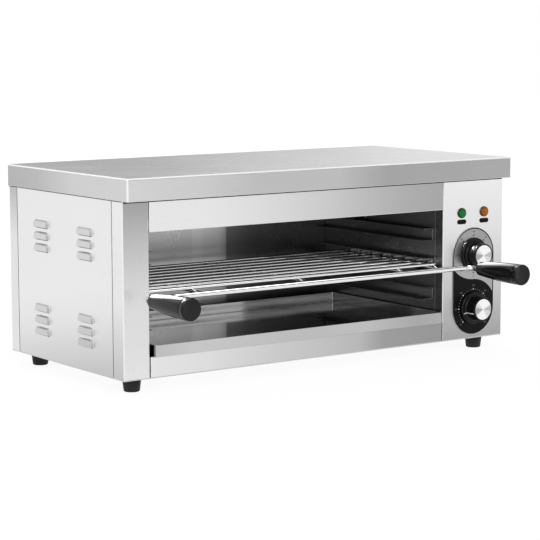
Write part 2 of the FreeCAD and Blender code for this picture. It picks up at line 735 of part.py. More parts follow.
def heating_elements():
    """Two hairpin tubes, their bushings in the right wall, their terminals and their brackets."""
    places = tube_places()
    start = mouth_left + S.element_left
    end = mouth_right + S.element_tail
    for node, i in (("front_heating_element", 0), ("rear_heating_element", 2)):
        near, far = places[i], places[i + 1]
        hairpin = [(end, near, element_z), (start, near, element_z), (start, far, element_z),
                   (end, far, element_z)]
        publish(rod(node + "_tube", S.element_radius, S.element_pitch / 2, hairpin), node)

    rings = []
    studs = []
    for y in places:
        collar = cylinder("bushing_collar", S.bushing_ring, S.bushing_length,
                          (mouth_right - S.bushing_length / 3, y, element_z), ALONG_X)
        bore = cylinder("bushing_bore", S.element_radius + S.grip_fit, S.bushing_length * 2,
                        (mouth_right - S.bushing_length, y, element_z), ALONG_X)
        rings.append(cut("bushing", collar, [bore]))
        studs.append(cylinder("terminal", S.terminal_radius, S.terminal_length,
                              (mouth_right + S.element_tail, y, element_z), ALONG_X))
    publish(grouped("bushings", rings), "element_bushings")
    publish(grouped("terminals", studs), "element_terminals")

    margin = S.bracket_margin
    deep = (TUBES - 1) * S.element_pitch + 2 * margin
    low = ceiling - S.bracket_drop
    combs = []
    for i in range(BRACKETS):
        x = mouth_middle + (i - (BRACKETS - 1) / 2) * S.bracket_pitch - S.bracket_sheet / 2
        comb = box("bracket_sheet", (S.bracket_sheet, deep, ceiling - low), (x, places[0] - margin, low))
        eyes = [cylinder("bracket_eye", S.element_radius + S.bracket_fit, THROUGH * S.bracket_sheet,
                         (x - S.bracket_sheet, y, element_z), ALONG_X) for y in places]
        combs.append(cut("bracket", comb, eyes))
    publish(grouped("brackets", combs), "element_brackets")


# Rack and crumb tray


def rack():
    """The sliding grid: a bent frame rod, nine cross rods on it and three wires under them."""
    start = bar_y + S.bar_rod
    path = [(rack_left, start, rack_z), (rack_left, rack_rear, rack_z), (rack_right, rack_rear, rack_z),
            (rack_right, start, rack_z)]
    publish(rod("frame_rods", S.frame_rod, S.frame_bend, path), "rack_frame")

    length = rack_right - rack_left + 2 * S.grid_end
    rods = [cylinder("cross_rod", S.grid_rod, length,
                     (rack_left - S.grid_end, front + S.grid_first + i * S.grid_pitch, grid_z), ALONG_X)
            for i in range(CROSS_RODS)]
    publish(grouped("cross_rods", rods), "rack_cross_rods")

    reach = rack_rear - S.frame_rod - start
    wires = [cylinder("support_wire", S.support_rod, reach,
                      (mouth_middle + i * S.support_pitch, start, support_z), ALONG_Y) for i in (-1, 0, 1)]
    publish(grouped("support_wires", wires), "rack_support_wires")


def handle():
    """The bar across the front, bent forward at both ends into its ferrules and grips."""
    tip = grip_y - S.grip_bore_depth
    path = [(bar_left, tip, rack_z), (bar_left, bar_y, rack_z), (bar_right, bar_y, rack_z),
            (bar_right, tip, rack_z)]
    publish(rod("bar_rods", S.bar_rod, S.bar_bend, path), "rack_handle_bar")

    bore = S.bar_rod + S.grip_fit
    collars = [turned("ferrule", [(bore, ZERO), (S.ferrule_radius, ZERO),
                                  (S.ferrule_radius, S.ferrule_length), (bore, S.ferrule_length)],
                      (x, ferrule_y, rack_z), TURNED_FRONT) for x in (bar_left, bar_right)]
    publish(grouped("ferrules", collars), "grip_ferrules")

    rear, wide, long = S.grip_rear_radius, S.grip_front_radius, S.grip_length
    small, large = S.grip_rear_edge, S.grip_front_edge
    cone = long - S.grip_collar
    profile = [(bore, ZERO)] + round_corners((rear - small, small), small, -90, 0, 3)
    profile += [(rear + (wide - rear) / 3 + S.grip_belly_rear, cone / 3),
                (wide - (wide - rear) / 3 + S.grip_belly_front, 2 * cone / 3), (wide, cone)]
    profile += round_corners((wide - large, long - large), large, 0, 90, 2)
    profile += [(ZERO, long), (ZERO, S.grip_bore_depth), (bore, S.grip_bore_depth)]
    for node, x in (("left_grip", bar_left), ("right_grip", bar_right)):
        publish(turned(node + "_turned", profile, (x, grip_y, rack_z), TURNED_FRONT), node)


def crumb_tray():
    """The shallow pan on the chamber floor, with its front wall before the lower fascia."""
    gap, t = S.tray_side_gap, S.tray_sheet
    wide = mouth_width - 2 * gap
    deep = S.tray_lip + chamber_depth - S.tray_rear
    low = sill + S.tray_gap
    y = front - S.tray_lip
    block = box("tray_block", (wide, deep, S.tray_height), (mouth_left + gap, y, low))
    skin = rounded("tray_corners", block, S.tray_corner, lambda edge: on_bend(edge, "z"))
    hollow = box("tray_hollow", (wide - 2 * t, deep - 2 * t, S.tray_height),
                 (mouth_left + gap + t, y + t, low + t))
    inside = rounded("tray_inside", hollow, S.tray_corner - t, lambda edge: on_bend(edge, "z"))
    publish(cut("tray_pan", skin, [inside]), "crumb_tray")


# Controls


def dial_plate():
    """The long plate with round ends behind both knobs."""
    t = S.dial_sheet
    face_y = front - t
    slab = box("dial_slab", (2 * S.dial_radius, t, timer_z - heat_z),
               (knob_x - S.dial_radius, face_y, heat_z))
    ends = [cylinder("dial_end", S.dial_radius, t, (knob_x, face_y, z), ALONG_Y) for z in (timer_z, heat_z)]
    holes = [cylinder("dial_hole", S.shaft_hole, THROUGH * t, (knob_x, face_y - t, z), ALONG_Y)
             for z in (timer_z, heat_z)]
    publish(cut("dial_cut", joined("dial_outline", [slab] + ends), holes), "dial_plate")


def knob(node, z):
    """A smooth knob on a wide skirt, its spun cap, and the shaft that both turn with."""
    face = front - S.dial_sheet - S.knob_gap
    skirt_r, grip_r, cap_r = S.knob_skirt_radius, S.knob_radius, S.knob_cap_radius
    long, thick = S.knob_length, S.knob_skirt
    bore = S.shaft_radius + S.grip_fit
    rim_r = grip_r - S.knob_taper
    floor = long - S.knob_web
    profile = [(bore, ZERO), (skirt_r, ZERO), (skirt_r, thick - S.knob_bevel),
               (skirt_r - S.knob_bevel, thick)]
    profile += round_corners((grip_r + S.knob_cove, thick + S.knob_cove), S.knob_cove, 270, 180, 3)
    profile += [(rim_r, long - S.knob_rim), (rim_r - S.knob_rim, long), (cap_r, long),
                (cap_r, long - S.knob_cap), (ZERO, long - S.knob_cap), (ZERO, floor), (bore, floor)]
    publish(turned(node + "_turned", profile, (knob_x, face, z), TURNED_FRONT), node)
    publish(cylinder(node + "_disc", cap_r - S.grip_fit, S.knob_cap, (knob_x, face - long, z), ALONG_Y),
            node + "_cap")
    inside = front + S.sheet + S.shaft_inside
    tip = face - floor + S.shaft_end
    publish(cylinder(node + "_rod", S.shaft_radius, inside - tip, (knob_x, tip, z), ALONG_Y),
            node.replace("knob", "shaft"))


def control(node, size, depth, z):
    """A switch body behind the panel with the bushing that its shaft turns in."""
    t = S.sheet
    start = front + t
    block = box(node + "_block", (size, depth, size), (knob_x - size / 2, start, z - size / 2))
    bushing = cylinder(node + "_bushing", S.bushing_radius, t, (knob_x, front, z), ALONG_Y)
    bore = cylinder(node + "_bore", S.shaft_radius + S.shaft_gap, S.shaft_inside + S.shaft_end + 3 * t,
                    (knob_x, front - 2 * t, z), ALONG_Y)
    publish(cut(node + "_bored", joined(node + "_solid", [block, bushing]), [bore]), node)


def lamps():
    """Two pilot lamps: domed lenses before the panel, bodies behind it, and blank name tags."""
    r, rim, dome = S.lamp_radius, S.lamp_rim, S.lamp_dome
    stem = S.lamp_body_radius
    steps = [math.radians(angle) for angle in range(0, 90, 15)]
    curve = [(r * math.cos(a), rim + dome * math.sin(a)) for a in steps]
    for node, x in zip(("power_lamp", "heat_lamp"), lamp_places()):
        publish(turned(node + "_dome", [(ZERO, ZERO), (r, ZERO)] + curve + [(ZERO, rim + dome)],
                       (x, front, lamp_z), TURNED_FRONT), node + "_lens")
        publish(cylinder(node + "_stem", stem, S.lamp_body_length, (x, front, lamp_z), ALONG_Y),
                node + "_body")
    half = S.label_height / 2
    tags = []
    for x in lamp_places():
        z = lamp_z - S.label_drop
        y = front - S.label_sheet
        slab = box("tag_slab", (S.label_width - 2 * half, S.label_sheet, S.label_height),
                   (x - S.label_width / 2 + half, y, z - half))
        ends = [cylinder("tag_end", half, S.label_sheet, (x + side * (S.label_width / 2 - half), y, z),
                         ALONG_Y) for side in (-1, 1)]
        tags.append(joined("tag", [slab] + ends))
    publish(grouped("tags", tags), "lamp_tags")


def sensor():
    """The thermostat's bulb on the chamber's right wall, its two clips and its capillary tube."""
    strap = S.bulb_radius + S.clip_sheet
    x, y, z = mouth_right - strap, bulb_front, bulb_z
    publish(cylinder("bulb_tube", S.bulb_radius, S.bulb_length, (x, y, z), ALONG_Y), "thermostat_bulb")
    clips = []
    for start in (y + S.clip_width, y + S.bulb_length - 2 * S.clip_width):
        ring = cylinder("clip_ring", strap, S.clip_width, (x, start, z), ALONG_Y)
        tab = box("clip_tab", (S.clip_sheet, S.clip_width, S.clip_tab),
                  (mouth_right - S.clip_sheet, start, z))
        bore = cylinder("clip_bore", S.bulb_radius + S.grip_fit, THROUGH * S.clip_width,
                        (x, start - S.clip_width, z), ALONG_Y)
        clips.append(cut("clip", joined("clip_strap", [ring, tab]), [bore]))
    publish(grouped("clips", clips), "bulb_clips")

    switch_back = front + S.sheet + S.thermostat_depth
    path = [(x, y, z), (x, capillary_y, z), (knob_x, capillary_y, z), (knob_x, capillary_y, heat_z),
            (knob_x, switch_back, heat_z)]
    publish(rod("capillary_tube", S.capillary_radius, S.capillary_bend, path), "thermostat_capillary")


def controls():
    """Everything on and behind the control panel."""
    dial_plate()
    knob("timer_knob", timer_z)
    knob("thermostat_knob", heat_z)
    control("timer_switch", S.timer_body, S.timer_depth, timer_z)
    control("thermostat", S.thermostat_body, S.thermostat_depth, heat_z)
    lamps()
    sensor()
    terminal_block()


def terminal_block():
    """The block on the base plate where the cord's wires end."""
    long, wide, tall = S.block_length, S.block_width, S.block_height
    y = back - S.block_rear - wide
    block = box("block_base", (long, wide, tall), (knob_x - long / 2, y, skin_foot))
    wells = [cylinder("block_well", S.screw_head, tall, (knob_x + i * S.block_pitch, y + wide / 2,
                                                         skin_foot + tall - S.block_well))
             for i in (-1, 0, 1)]
    publish(cut("block_cut", block, wells), "terminal_block")


# Feet, gland and fasteners


def feet():
    """Four tapered rubber feet with the screws and nuts that hold them."""
    r_top, r_low, tall = S.foot_top_radius, S.foot_bottom_radius, S.foot_height
    recess, deep, shank = S.foot_recess_radius, S.foot_recess_depth, S.foot_screw_radius
    edge, bore, head = S.foot_edge, shank + S.grip_fit, recess - S.foot_head_gap
    tip = tall + S.sheet + S.foot_nut + S.foot_edge
    pads = []
    screws = []
    nuts = []
    for x, y in foot_places():
        pads.append(turned("foot_rubber", [
            (recess, ZERO), (r_low - edge, ZERO), (r_low, edge), (r_top, tall - edge), (r_top - edge, tall),
            (bore, tall), (bore, deep), (recess, deep)], (x, y, ZERO), TURNED_UP))
        screws.append(turned("foot_screw", [
            (ZERO, deep - S.foot_head), (head, deep - S.foot_head), (head, deep), (shank, deep),
            (shank, tip), (ZERO, tip)], (x, y, ZERO), TURNED_UP))
        nuts.append(hex_nut("foot_nut", S.foot_nut_radius, S.foot_nut, bore, (x, y, skin_foot)))
    publish(grouped("foot_set", pads), "feet")
    publish(grouped("foot_screw_set", screws), "foot_screws")
    publish(grouped("foot_nut_set", nuts), "foot_nuts")


def hex_nut(name, radius, thick, bore, at, turn=UP):
    """A six-sided nut with a plain bore."""
    prism = doc.addObject("Part::Prism", name + "_prism")
    prism.Polygon = 6
    bind(prism, "Circumradius", radius)
    bind(prism, "Height", thick)
    place(prism, at, turn)
    run = (2, 1) if turn is UP else (1, 1)
    hole = cylinder(name + "_hole", bore, thick * 3, along(at, run, -thick), turn)
    return cut(name, prism, [hole])


def gland():
    """The cord gland of the rear panel, its nut inside, and the bonding stud beside it."""
    r, reach, collar, bore = S.gland_radius, S.gland_reach, S.gland_collar, S.cord_radius
    inner = S.sheet + S.gland_stem
    stem = S.gland_thread - S.grip_fit
    shoulder = (r + S.gland_nose) / 2
    publish(turned("gland_turned", [
        (bore, ZERO), (stem, ZERO), (stem, inner), (r, inner), (r, inner + collar),
        (shoulder, inner + (collar + reach) / 2), (S.gland_nose, inner + reach), (bore, inner + reach)],
        (knob_x, back - inner, gland_z), TURNED_BACK), "cable_gland")
    publish(hex_nut("gland_hex", S.gland_nut_radius, S.gland_nut, S.gland_thread,
                    (knob_x, back - S.sheet - S.gland_nut, gland_z), ALONG_Y), "gland_nut")

    stud = S.stud_radius - S.grip_fit
    seat = S.stud_inside + S.sheet
    washer = seat + S.stud_washer
    nut = washer + S.stud_nut
    tip = nut + S.stud_free
    publish(turned("stud_turned", [
        (ZERO, ZERO), (stud, ZERO), (stud, seat), (S.stud_washer_radius, seat),
        (S.stud_washer_radius, washer), (S.stud_nut_radius, washer), (S.stud_nut_radius, nut),
        (stud, nut), (stud, tip), (ZERO, tip)],
        (knob_x - S.stud_spacing, back - seat, gland_z), TURNED_BACK), "bonding_stud")


def screw(name, x, y, z):
    """A pan-head screw that points forward, its head's seat at y."""
    r, head, long = S.screw_radius, S.screw_head, S.screw_length
    crown = long + S.screw_head_height
    return turned(name, [
        (ZERO, ZERO), (r, ZERO), (r, long), (head, long), (head, (long + crown) / 2), ((r + head) / 2, crown),
        (ZERO, crown)], (x, y - long, z), TURNED_BACK)


def screws():
    """The screws across the back: three in the base plate's flange and three in the cover."""
    publish(grouped("rear_screw_set", [screw("rear_screw", x, back, rear_screw_z())
                                       for x in screw_columns()]), "rear_panel_screws")
    seat = back + S.cover_side
    publish(grouped("cover_screw_set", [screw("cover_screw", x, seat, cover_screw_z())
                                        for x in screw_columns()]), "cover_screws")


def check_and_export():
    """Checks every object and writes each piece to its own file."""
    doc.recompute()
    for item in doc.Objects:
        if "Invalid" in item.State or "Error" in item.State:
            raise RuntimeError(f"{item.Name} ({item.Label}) failed: {item.State}")
    os.makedirs("parts", exist_ok=True)
    for item in published:
        shape = item.Shape
        if shape.isNull() or not shape.isValid() or not shape.Solids:
            raise RuntimeError(f"{item.Label} has no valid shape")
        shape.exportStep(f"parts/{item.Label}.step")
    print(len(published), "pieces written")


base_plate()
front_skins()
fascias()
side_panel("left_side_panel", left, -1)
side_panel("right_side_panel", right, 1)
rear_panel()
top_cover()
chamber()
runners()
heating_elements()
rack()
handle()
crumb_tray()
controls()
feet()
gland()
screws()
check_and_export()
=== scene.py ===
"""The look of the salamander grill: materials, printed scales, small details, studio and camera."""
import math

import bmesh
import bpy
from mathutils import Matrix, Vector
from mathutils.geometry import tessellate_polygon

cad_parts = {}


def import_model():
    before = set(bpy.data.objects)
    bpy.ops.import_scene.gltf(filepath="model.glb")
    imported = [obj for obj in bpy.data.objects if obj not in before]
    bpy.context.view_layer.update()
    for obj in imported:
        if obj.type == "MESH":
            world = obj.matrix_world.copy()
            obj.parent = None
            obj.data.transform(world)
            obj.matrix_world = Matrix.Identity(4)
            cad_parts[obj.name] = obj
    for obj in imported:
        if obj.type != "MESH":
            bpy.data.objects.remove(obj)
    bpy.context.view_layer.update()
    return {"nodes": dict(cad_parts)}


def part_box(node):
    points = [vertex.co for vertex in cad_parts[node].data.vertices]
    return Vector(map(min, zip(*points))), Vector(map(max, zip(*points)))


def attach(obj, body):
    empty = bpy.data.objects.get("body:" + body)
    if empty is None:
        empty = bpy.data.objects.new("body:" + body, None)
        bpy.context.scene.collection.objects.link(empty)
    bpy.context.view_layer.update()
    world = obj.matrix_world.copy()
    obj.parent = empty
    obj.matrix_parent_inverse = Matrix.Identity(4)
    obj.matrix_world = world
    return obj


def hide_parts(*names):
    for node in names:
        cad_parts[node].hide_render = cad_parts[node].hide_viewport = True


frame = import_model()
NODES = frame["nodes"]

MM = 0.001
ALONG_X, ALONG_Y, ALONG_Z = (1.0, 0.0, 0.0), (0.0, 1.0, 0.0), (0.0, 0.0, 1.0)

# Places read from the frame

dial_low, dial_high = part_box("dial_plate")
DIAL_RADIUS = (dial_high.x - dial_low.x) / 2
DIAL_X = (dial_low.x + dial_high.x) / 2
TIMER_Z = dial_high.z - DIAL_RADIUS
HEAT_Z = dial_low.z + DIAL_RADIUS
DIAL_FACE = dial_low.y
SIDE_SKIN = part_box("rear_panel")[1].x   # outer face of the side skins

# Printed dial

LIFT = 0.12 * MM                    # how far printed ink stands off its plate
DIVIDE_BELOW_TIMER = 34.2 * MM      # where the wavy border's two arcs meet, under the upper axis
SILVER_ARC = 47.5 * MM
BLACK_ARC = 40.4 * MM
PRINT_EDGE = 0.15 * MM              # bare metal round the print
RIM_INK = 1.5 * MM
SHAFT_HOLE = 6 * MM
MARK_CIRCLE = 25.6 * MM
NUMBER_CIRCLE = 30.6 * MM
DOT = 1.0 * MM
NUMBER_SIZE = 3.4 * MM
TIMER_STOP = 270                    # where the timer's zero is, in degrees from +X towards +Z
HEAT_STOP = 225
HEAT_SHOWN = 199                    # where the thermostat's pointer stands in the photograph
STEP = 45                           # degrees from one number to the next

# Small details

TURN_STEPS = 80                     # sides of a turned piece
SHARP_BEND = math.radians(38)       # steeper bends than this stay sharp on it
POINTER_WIDTH = 1.3 * MM
SHADOW_LINE = 0.9 * MM                     # width of a painted shadow line
SHADOW_LINE_END = 2 * MM                   # how far lines under the cover stop before its ends
SEAM = 0.6 * MM                     # width of the painted shadow line in the gap beside the side panels
COVER_GAP = 2.8 * MM                # painted shadow line under the cover's front
CROSS_RODS = 9
NUGGET = (1.7 * MM, 1.7 * MM, 0.9 * MM)     # half sizes of a weld nugget

# Scales of the noise that gives brushed lines, per metre

ACROSS_LINES = 2600.0
ALONG_LINES = 7.0


# Node helpers


def grey(level):
    return (level, level, level)


def scaled(colour, factor):
    return tuple(channel * factor for channel in colour)


class Finish:
    """A material with a Principled shader and short ways to add texture nodes to it."""

    def __init__(self, name, colour, roughness=0.5, metallic=0.0, **sockets):
        self.material = bpy.data.materials.new(name)
        self.material.use_nodes = True
        self.tree = self.material.node_tree
        self.shader = self.tree.nodes["Principled BSDF"]
        self.set("Base Color", (*colour, 1.0))
        self.set("Roughness", roughness)
        self.set("Metallic", metallic)
        for socket, value in sockets.items():
            self.set(socket.replace("_", " "), value)
        self.material.diffuse_color = (*colour, 1.0)
        place = self.node("ShaderNodeTexCoord")
        self.place = place.outputs["Object"]
        self.normal = place.outputs["Normal"]
        self.rounded = None

    def set(self, socket, value):
        self.shader.inputs[socket].default_value = value

    def drive(self, socket, source):
        """Links a node's output to one of the shader's sockets."""
        self.link(source, self.shader.inputs[socket])

    def node(self, kind, **settings):
        item = self.tree.nodes.new(kind)
        for key, value in settings.items():
            setattr(item, key, value)
        return item

    def link(self, source, target):
        self.tree.links.new(source, target)

    def fill(self, socket, value):
        """Sets a socket to a number or a colour, or links it to another node's output."""
        if isinstance(value, bpy.types.NodeSocket):
            self.link(value, socket)
        else:
            socket.default_value = value

    def noise(self, scale, detail=3.0, stretch=(1.0, 1.0, 1.0), roughness=0.5):
        """Noise over object coordinates, in metres, multiplied by a stretch."""
        mapping = self.node("ShaderNodeMapping")
        mapping.inputs["Scale"].default_value = stretch
        self.link(self.place, mapping.inputs["Vector"])
        item = self.node("ShaderNodeTexNoise")
        item.inputs["Scale"].default_value = scale
        item.inputs["Detail"].default_value = detail
        item.inputs["Roughness"].default_value = roughness
        self.link(mapping.outputs["Vector"], item.inputs["Vector"])
        return item.outputs["Fac"]

    def spread(self, value, low, high, start=0.3, end=0.7, kind="LINEAR"):
        """The value's range from start to end, spread from low to high."""
        item = self.node("ShaderNodeMapRange", interpolation_type=kind)
        for socket, number in (("From Min", start), ("From Max", end), ("To Min", low),
                               ("To Max", high)):
            item.inputs[socket].default_value = number
        self.link(value, item.inputs["Value"])
        return item.outputs["Result"]

    def between(self, mask, none, full):
        """A level that is one number where a mask is 0 and another where it is 1."""
        return self.spread(mask, none, full, 0.0, 1.0)

    def maths(self, operation, first, second=0.0):
        item = self.node("ShaderNodeMath", operation=operation)
        self.fill(item.inputs[0], first)
        self.fill(item.inputs[1], second)
        return item.outputs[0]

    def vector(self, operation, first, second=(0.0, 0.0, 0.0), output="Vector"):
        item = self.node("ShaderNodeVectorMath", operation=operation)
        self.fill(item.inputs[0], first)
        self.fill(item.inputs[1], second)
        return item.outputs[output]

    def dot(self, first, second):
        return self.vector("DOT_PRODUCT", first, second, "Value")

    def mix(self, fraction, first, second):
        """A colour between two others. A grey level may stand for a colour."""
        item = self.node("ShaderNodeMix", data_type="RGBA")
        self.fill(item.inputs["Factor"], fraction)
        for name, colour in (("A", first), ("B", second)):
            if isinstance(colour, float):
                colour = grey(colour)
            if isinstance(colour, tuple):
                colour = (*colour, 1.0)
            self.fill(item.inputs[name], colour)
        return item.outputs["Result"]

    def scale(self, colour, level):
        """A colour multiplied by a level."""
        item = self.node("ShaderNodeVectorMath", operation="SCALE")
        self.fill(item.inputs[0], colour)
        self.fill(item.inputs["Scale"], level)
        return item.outputs["Vector"]

    def ramp(self, along, stops):
        """Grey levels at distances, in metres, along a direction through the object."""
        first, last = stops[0][0], stops[-1][0]
        item = self.node("ShaderNodeValToRGB")
        points = item.color_ramp.elements
        while len(points) < len(stops):
            points.new(0.5)
        for point, (at, level) in zip(points, stops):
            point.position = (at - first) / (last - first)
            point.color = (*grey(level), 1.0)
        share = self.spread(self.dot(self.place, along), 0.0, 1.0, first, last)
        self.link(share, item.inputs["Fac"])
        return item.outputs["Color"]

    def facing(self, along):
        """1 where the surface faces along a direction or against it, 0 where it doesn't."""
        side = self.maths("ABSOLUTE", self.dot(self.normal, along))
        return self.spread(side, 0.0, 1.0, 0.6, 0.8)

    def edges(self, radius):
        """Near 1 on folded and cut edges, 0 on the flats beside them. Keeps the rounded normal."""
        soft = self.node("ShaderNodeBevel", samples=8)
        soft.inputs["Radius"].default_value = radius
        self.rounded = soft.outputs["Normal"]
        own = self.node("ShaderNodeNewGeometry")
        same = self.dot(self.rounded, own.outputs["True Normal"])
        return self.spread(same, 1.0, 0.0, 0.80, 0.985)

    def bends(self):
        """1 on the curved strips of folded edges, 0 on faces square to the axes."""
        parts = self.node("ShaderNodeSeparateXYZ")
        self.link(self.vector("ABSOLUTE", self.normal), parts.inputs[0])
        square = self.maths("MAXIMUM", self.maths("MAXIMUM", *parts.outputs[:2]), parts.outputs[2])
        return self.spread(square, 1.0, 0.0, 0.93, 0.99)

    def crevices(self, reach):
        """1 on open surfaces, lower in narrow gaps and corners: the mask for painted shade there."""
        item = self.node("ShaderNodeAmbientOcclusion", samples=8)
        item.inputs["Distance"].default_value = reach
        return item.outputs["AO"]

    def bump(self, height, strength, distance):
        """Fine relief, on top of the rounded edges where the material has them."""
        item = self.node("ShaderNodeBump")
        item.inputs["Strength"].default_value = strength
        item.inputs["Distance"].default_value = distance
        self.link(height, item.inputs["Height"])
        if self.rounded is not None:
            self.link(self.rounded, item.inputs["Normal"])
        self.drive("Normal", item.outputs["Normal"])


# Materials


def brush(finish, roughness, upright, top):
    """The fine lines of brushed sheet, in its gloss, its relief and how its highlights stretch."""
    stretch = [ALONG_LINES, ALONG_LINES, ACROSS_LINES]
    if upright:
        stretch = [ACROSS_LINES, ACROSS_LINES, ALONG_LINES]
    lines = finish.noise(1.0, 2.0, stretch)
    if top:
        over = finish.noise(1.0, 2.0, (ALONG_LINES, ACROSS_LINES, ALONG_LINES))
        lines = finish.mix(finish.facing(ALONG_Z), lines, over)
    fine = finish.spread(lines, roughness - 0.008, roughness + 0.008)
    patches = finish.spread(finish.noise(8.0, 4.0), -0.02, 0.02)
    finish.drive("Roughness", finish.maths("ADD", fine, patches))
    finish.bump(lines, 0.010, 0.004 * MM)
    run = finish.vector("CROSS_PRODUCT", finish.normal, ALONG_Z)
    tangent = finish.vector("ADD", run, (0.02, 0.0, 0.0))
    finish.fill(finish.shader.inputs["Tangent"], ALONG_Z if upright else tangent)


def louvre_slopes(finish, colour):
    """Paints shade on the louvres of a side skin: darker hoods, and slopes a matt grey in place of
    their reflections. Gives the colour, and 1 where a louvre slopes.
    """
    out = finish.maths("ABSOLUTE", finish.dot(finish.place, ALONG_X))
    hood = finish.spread(out, 0.0, 1.0, SIDE_SKIN + 0.2 * MM, SIDE_SKIN + 0.6 * MM)
    slope = finish.maths("MULTIPLY", hood, finish.between(finish.facing(ALONG_X), 1.0, 0.0))
    colour = finish.scale(colour, finish.between(hood, 1.0, 0.80))
    return finish.mix(slope, colour, 0.46), slope


def steel(name, roughness, front, side=None, top=None, upright=False, clouds=0.005, pressed=False,
          inside=1.0):
    """Satin stainless sheet. Front, side and top are painted grey levels along a direction: the
    slow change of tone that reflections of the room give each face in the photograph. Upright
    sheet is brushed up and down, pressed sheet has louvres with painted shade, clouds is how
    uneven its tone is and inside is painted shade on rearward faces. Edges are painted pale as
    a highlight and hardly mirror, and gaps and corners get painted shade."""
    finish = Finish(name, grey(0.7), roughness, 1.0, Anisotropic=0.35)
    colour = finish.ramp(*front)
    if side:
        colour = finish.mix(finish.facing(ALONG_X), colour, finish.ramp(*side))
    if top:
        colour = finish.mix(finish.facing(ALONG_Z), colour, finish.ramp(*top))
    if pressed:
        # Painted shade on the louvres' hoods and slopes.
        colour, slope = louvre_slopes(finish, colour)
    # Faces turned to the rear are darkened: painted shade.
    if inside < 1.0:
        rearward = finish.dot(finish.normal, ALONG_Y)
        colour = finish.scale(colour, finish.spread(rearward, 1.0, inside, 0.3, 0.6))
    smears = finish.noise(1.0, 4.0, (34.0, 34.0, 9.0) if upright else (9.0, 9.0, 34.0), 0.6)
    colour = finish.scale(colour, finish.spread(smears, 1.0 - clouds, 1.0 + clouds))
    # Edges and bends are painted pale and less metallic: a painted highlight.
    edge = finish.edges(1.5 * MM)
    if not pressed:
        edge = finish.maths("MAXIMUM", edge, finish.bends())
    colour = finish.mix(edge, colour, 0.97)
    shiny = finish.between(edge, 1.0, 0.2)
    if pressed:
        shiny = finish.maths("MULTIPLY", shiny, finish.between(slope, 1.0, 0.15))
    else:
        # Painted shade in gaps and corners.
        colour = finish.scale(colour, finish.spread(finish.crevices(5 * MM), 0.35, 1.0, 0.15, 0.75))
    finish.drive("Metallic", shiny)
    finish.drive("Base Color", colour)
    brush(finish, roughness, upright, top)
    return finish.material


def bright_sheet(name, level, roughness, front=None, side=None, painted_streaks=None, edge=0.9):
    """Bright annealed sheet, almost a mirror, with the slight waves of thin rolled metal. Front is
    painted grey levels as in steel(), side is one darker level of painted shade and streaks are the
    strength of pale matt bands of painted reflection across it, with painted shade on its rounded
    corners. Edge is the most that the painted highlight on its edges brightens to. Gaps and corners
    get painted shade."""
    finish = Finish(name, grey(level), roughness, 1.0)
    stains = finish.noise(11.0, 5.0, roughness=0.6)
    finish.drive("Roughness", finish.spread(stains, roughness - 0.02, roughness + 0.04))
    colour = finish.mix(finish.noise(4.0, 3.0), level * 0.94, level * 1.04)
    if front:
        colour = finish.mix(finish.facing(ALONG_Y), colour, finish.ramp(*front))
    if side:
        colour = finish.mix(finish.facing(ALONG_X), colour, side)
    # Pale matt bands of painted reflection, and painted shade on rounded corners.
    if painted_streaks:
        uneven = finish.spread(finish.noise(1.0, 3.0, (6.0, 90.0, 90.0)), 0.75, 1.1)
        flat = finish.maths("MAXIMUM", finish.facing(ALONG_Y), finish.facing(ALONG_Z))
        bands = finish.maths("MULTIPLY", flat, finish.ramp(*painted_streaks))
        bands = finish.maths("MULTIPLY", bands, uneven)
        square = finish.maths("MAXIMUM", flat, finish.facing(ALONG_X))
        colour = finish.scale(colour, finish.between(square, 0.25, 1.0))
        colour = finish.mix(bands, colour, 0.85)
        finish.drive("Metallic", finish.maths("SUBTRACT", 1.0, bands))
    # Edges brightened: a painted highlight.
    colour = finish.mix(finish.edges(1.0 * MM), colour, min(level * 1.9, edge))
    # Painted shade in gaps and corners.
    colour = finish.scale(colour, finish.spread(finish.crevices(6 * MM), 0.4, 1.0, 0.1, 0.8))
    finish.drive("Base Color", colour)
    finish.bump(finish.noise(1.0, 2.0, (3.0, 22.0, 22.0)), 0.02, 0.4 * MM)
    return finish.material


def plated_wire():
    """Bright plated rod with a slightly uneven drawn surface and painted shade where rods meet."""
    finish = Finish("plated_wire", grey(0.80), 0.07, 1.0)
    finish.drive("Roughness", finish.spread(finish.noise(60.0, 3.0), 0.05, 0.10))
    colour = finish.mix(finish.noise(25.0, 3.0), 0.77, 0.84)
    # Painted shade in gaps and where rods cross.
    colour = finish.scale(colour, finish.spread(finish.crevices(4 * MM), 0.45, 1.0, 0.1, 0.7))
    finish.drive("Base Color", colour)
    finish.bump(finish.noise(1500.0, 2.0), 0.03, 0.01 * MM)
    return finish.material


def phenolic(name, level, roughness):
    """Black moulded phenolic, polished, with fine mould grain and a trace of handling."""
    finish = Finish(name, grey(level), roughness, 0.0, Specular_IOR_Level=0.18)
    worn = finish.noise(55.0, 5.0, roughness=0.65)
    finish.drive("Roughness", finish.spread(worn, roughness - 0.03, roughness + 0.06))
    colour = finish.mix(finish.noise(30.0, 2.0), level * 0.7, level * 1.4)
    finish.drive("Base Color", finish.mix(finish.edges(0.6 * MM), colour, level * 2.4))
    finish.bump(finish.noise(1600.0, 2.0), 0.03, 0.02 * MM)
    return finish.material


def rubber():
    """Moulded black rubber with a little dust."""
    finish = Finish("foot_rubber", grey(0.012), 0.62, 0.0, Specular_IOR_Level=0.3)
    finish.drive("Roughness", finish.spread(finish.noise(90.0, 4.0), 0.52, 0.78))
    dust = finish.mix(finish.noise(40.0, 3.0), 0.008, 0.022)
    finish.drive("Base Color", finish.mix(finish.edges(0.8 * MM), dust, 0.035))
    finish.bump(finish.noise(2600.0, 3.0), 0.25, 0.05 * MM)
    return finish.material


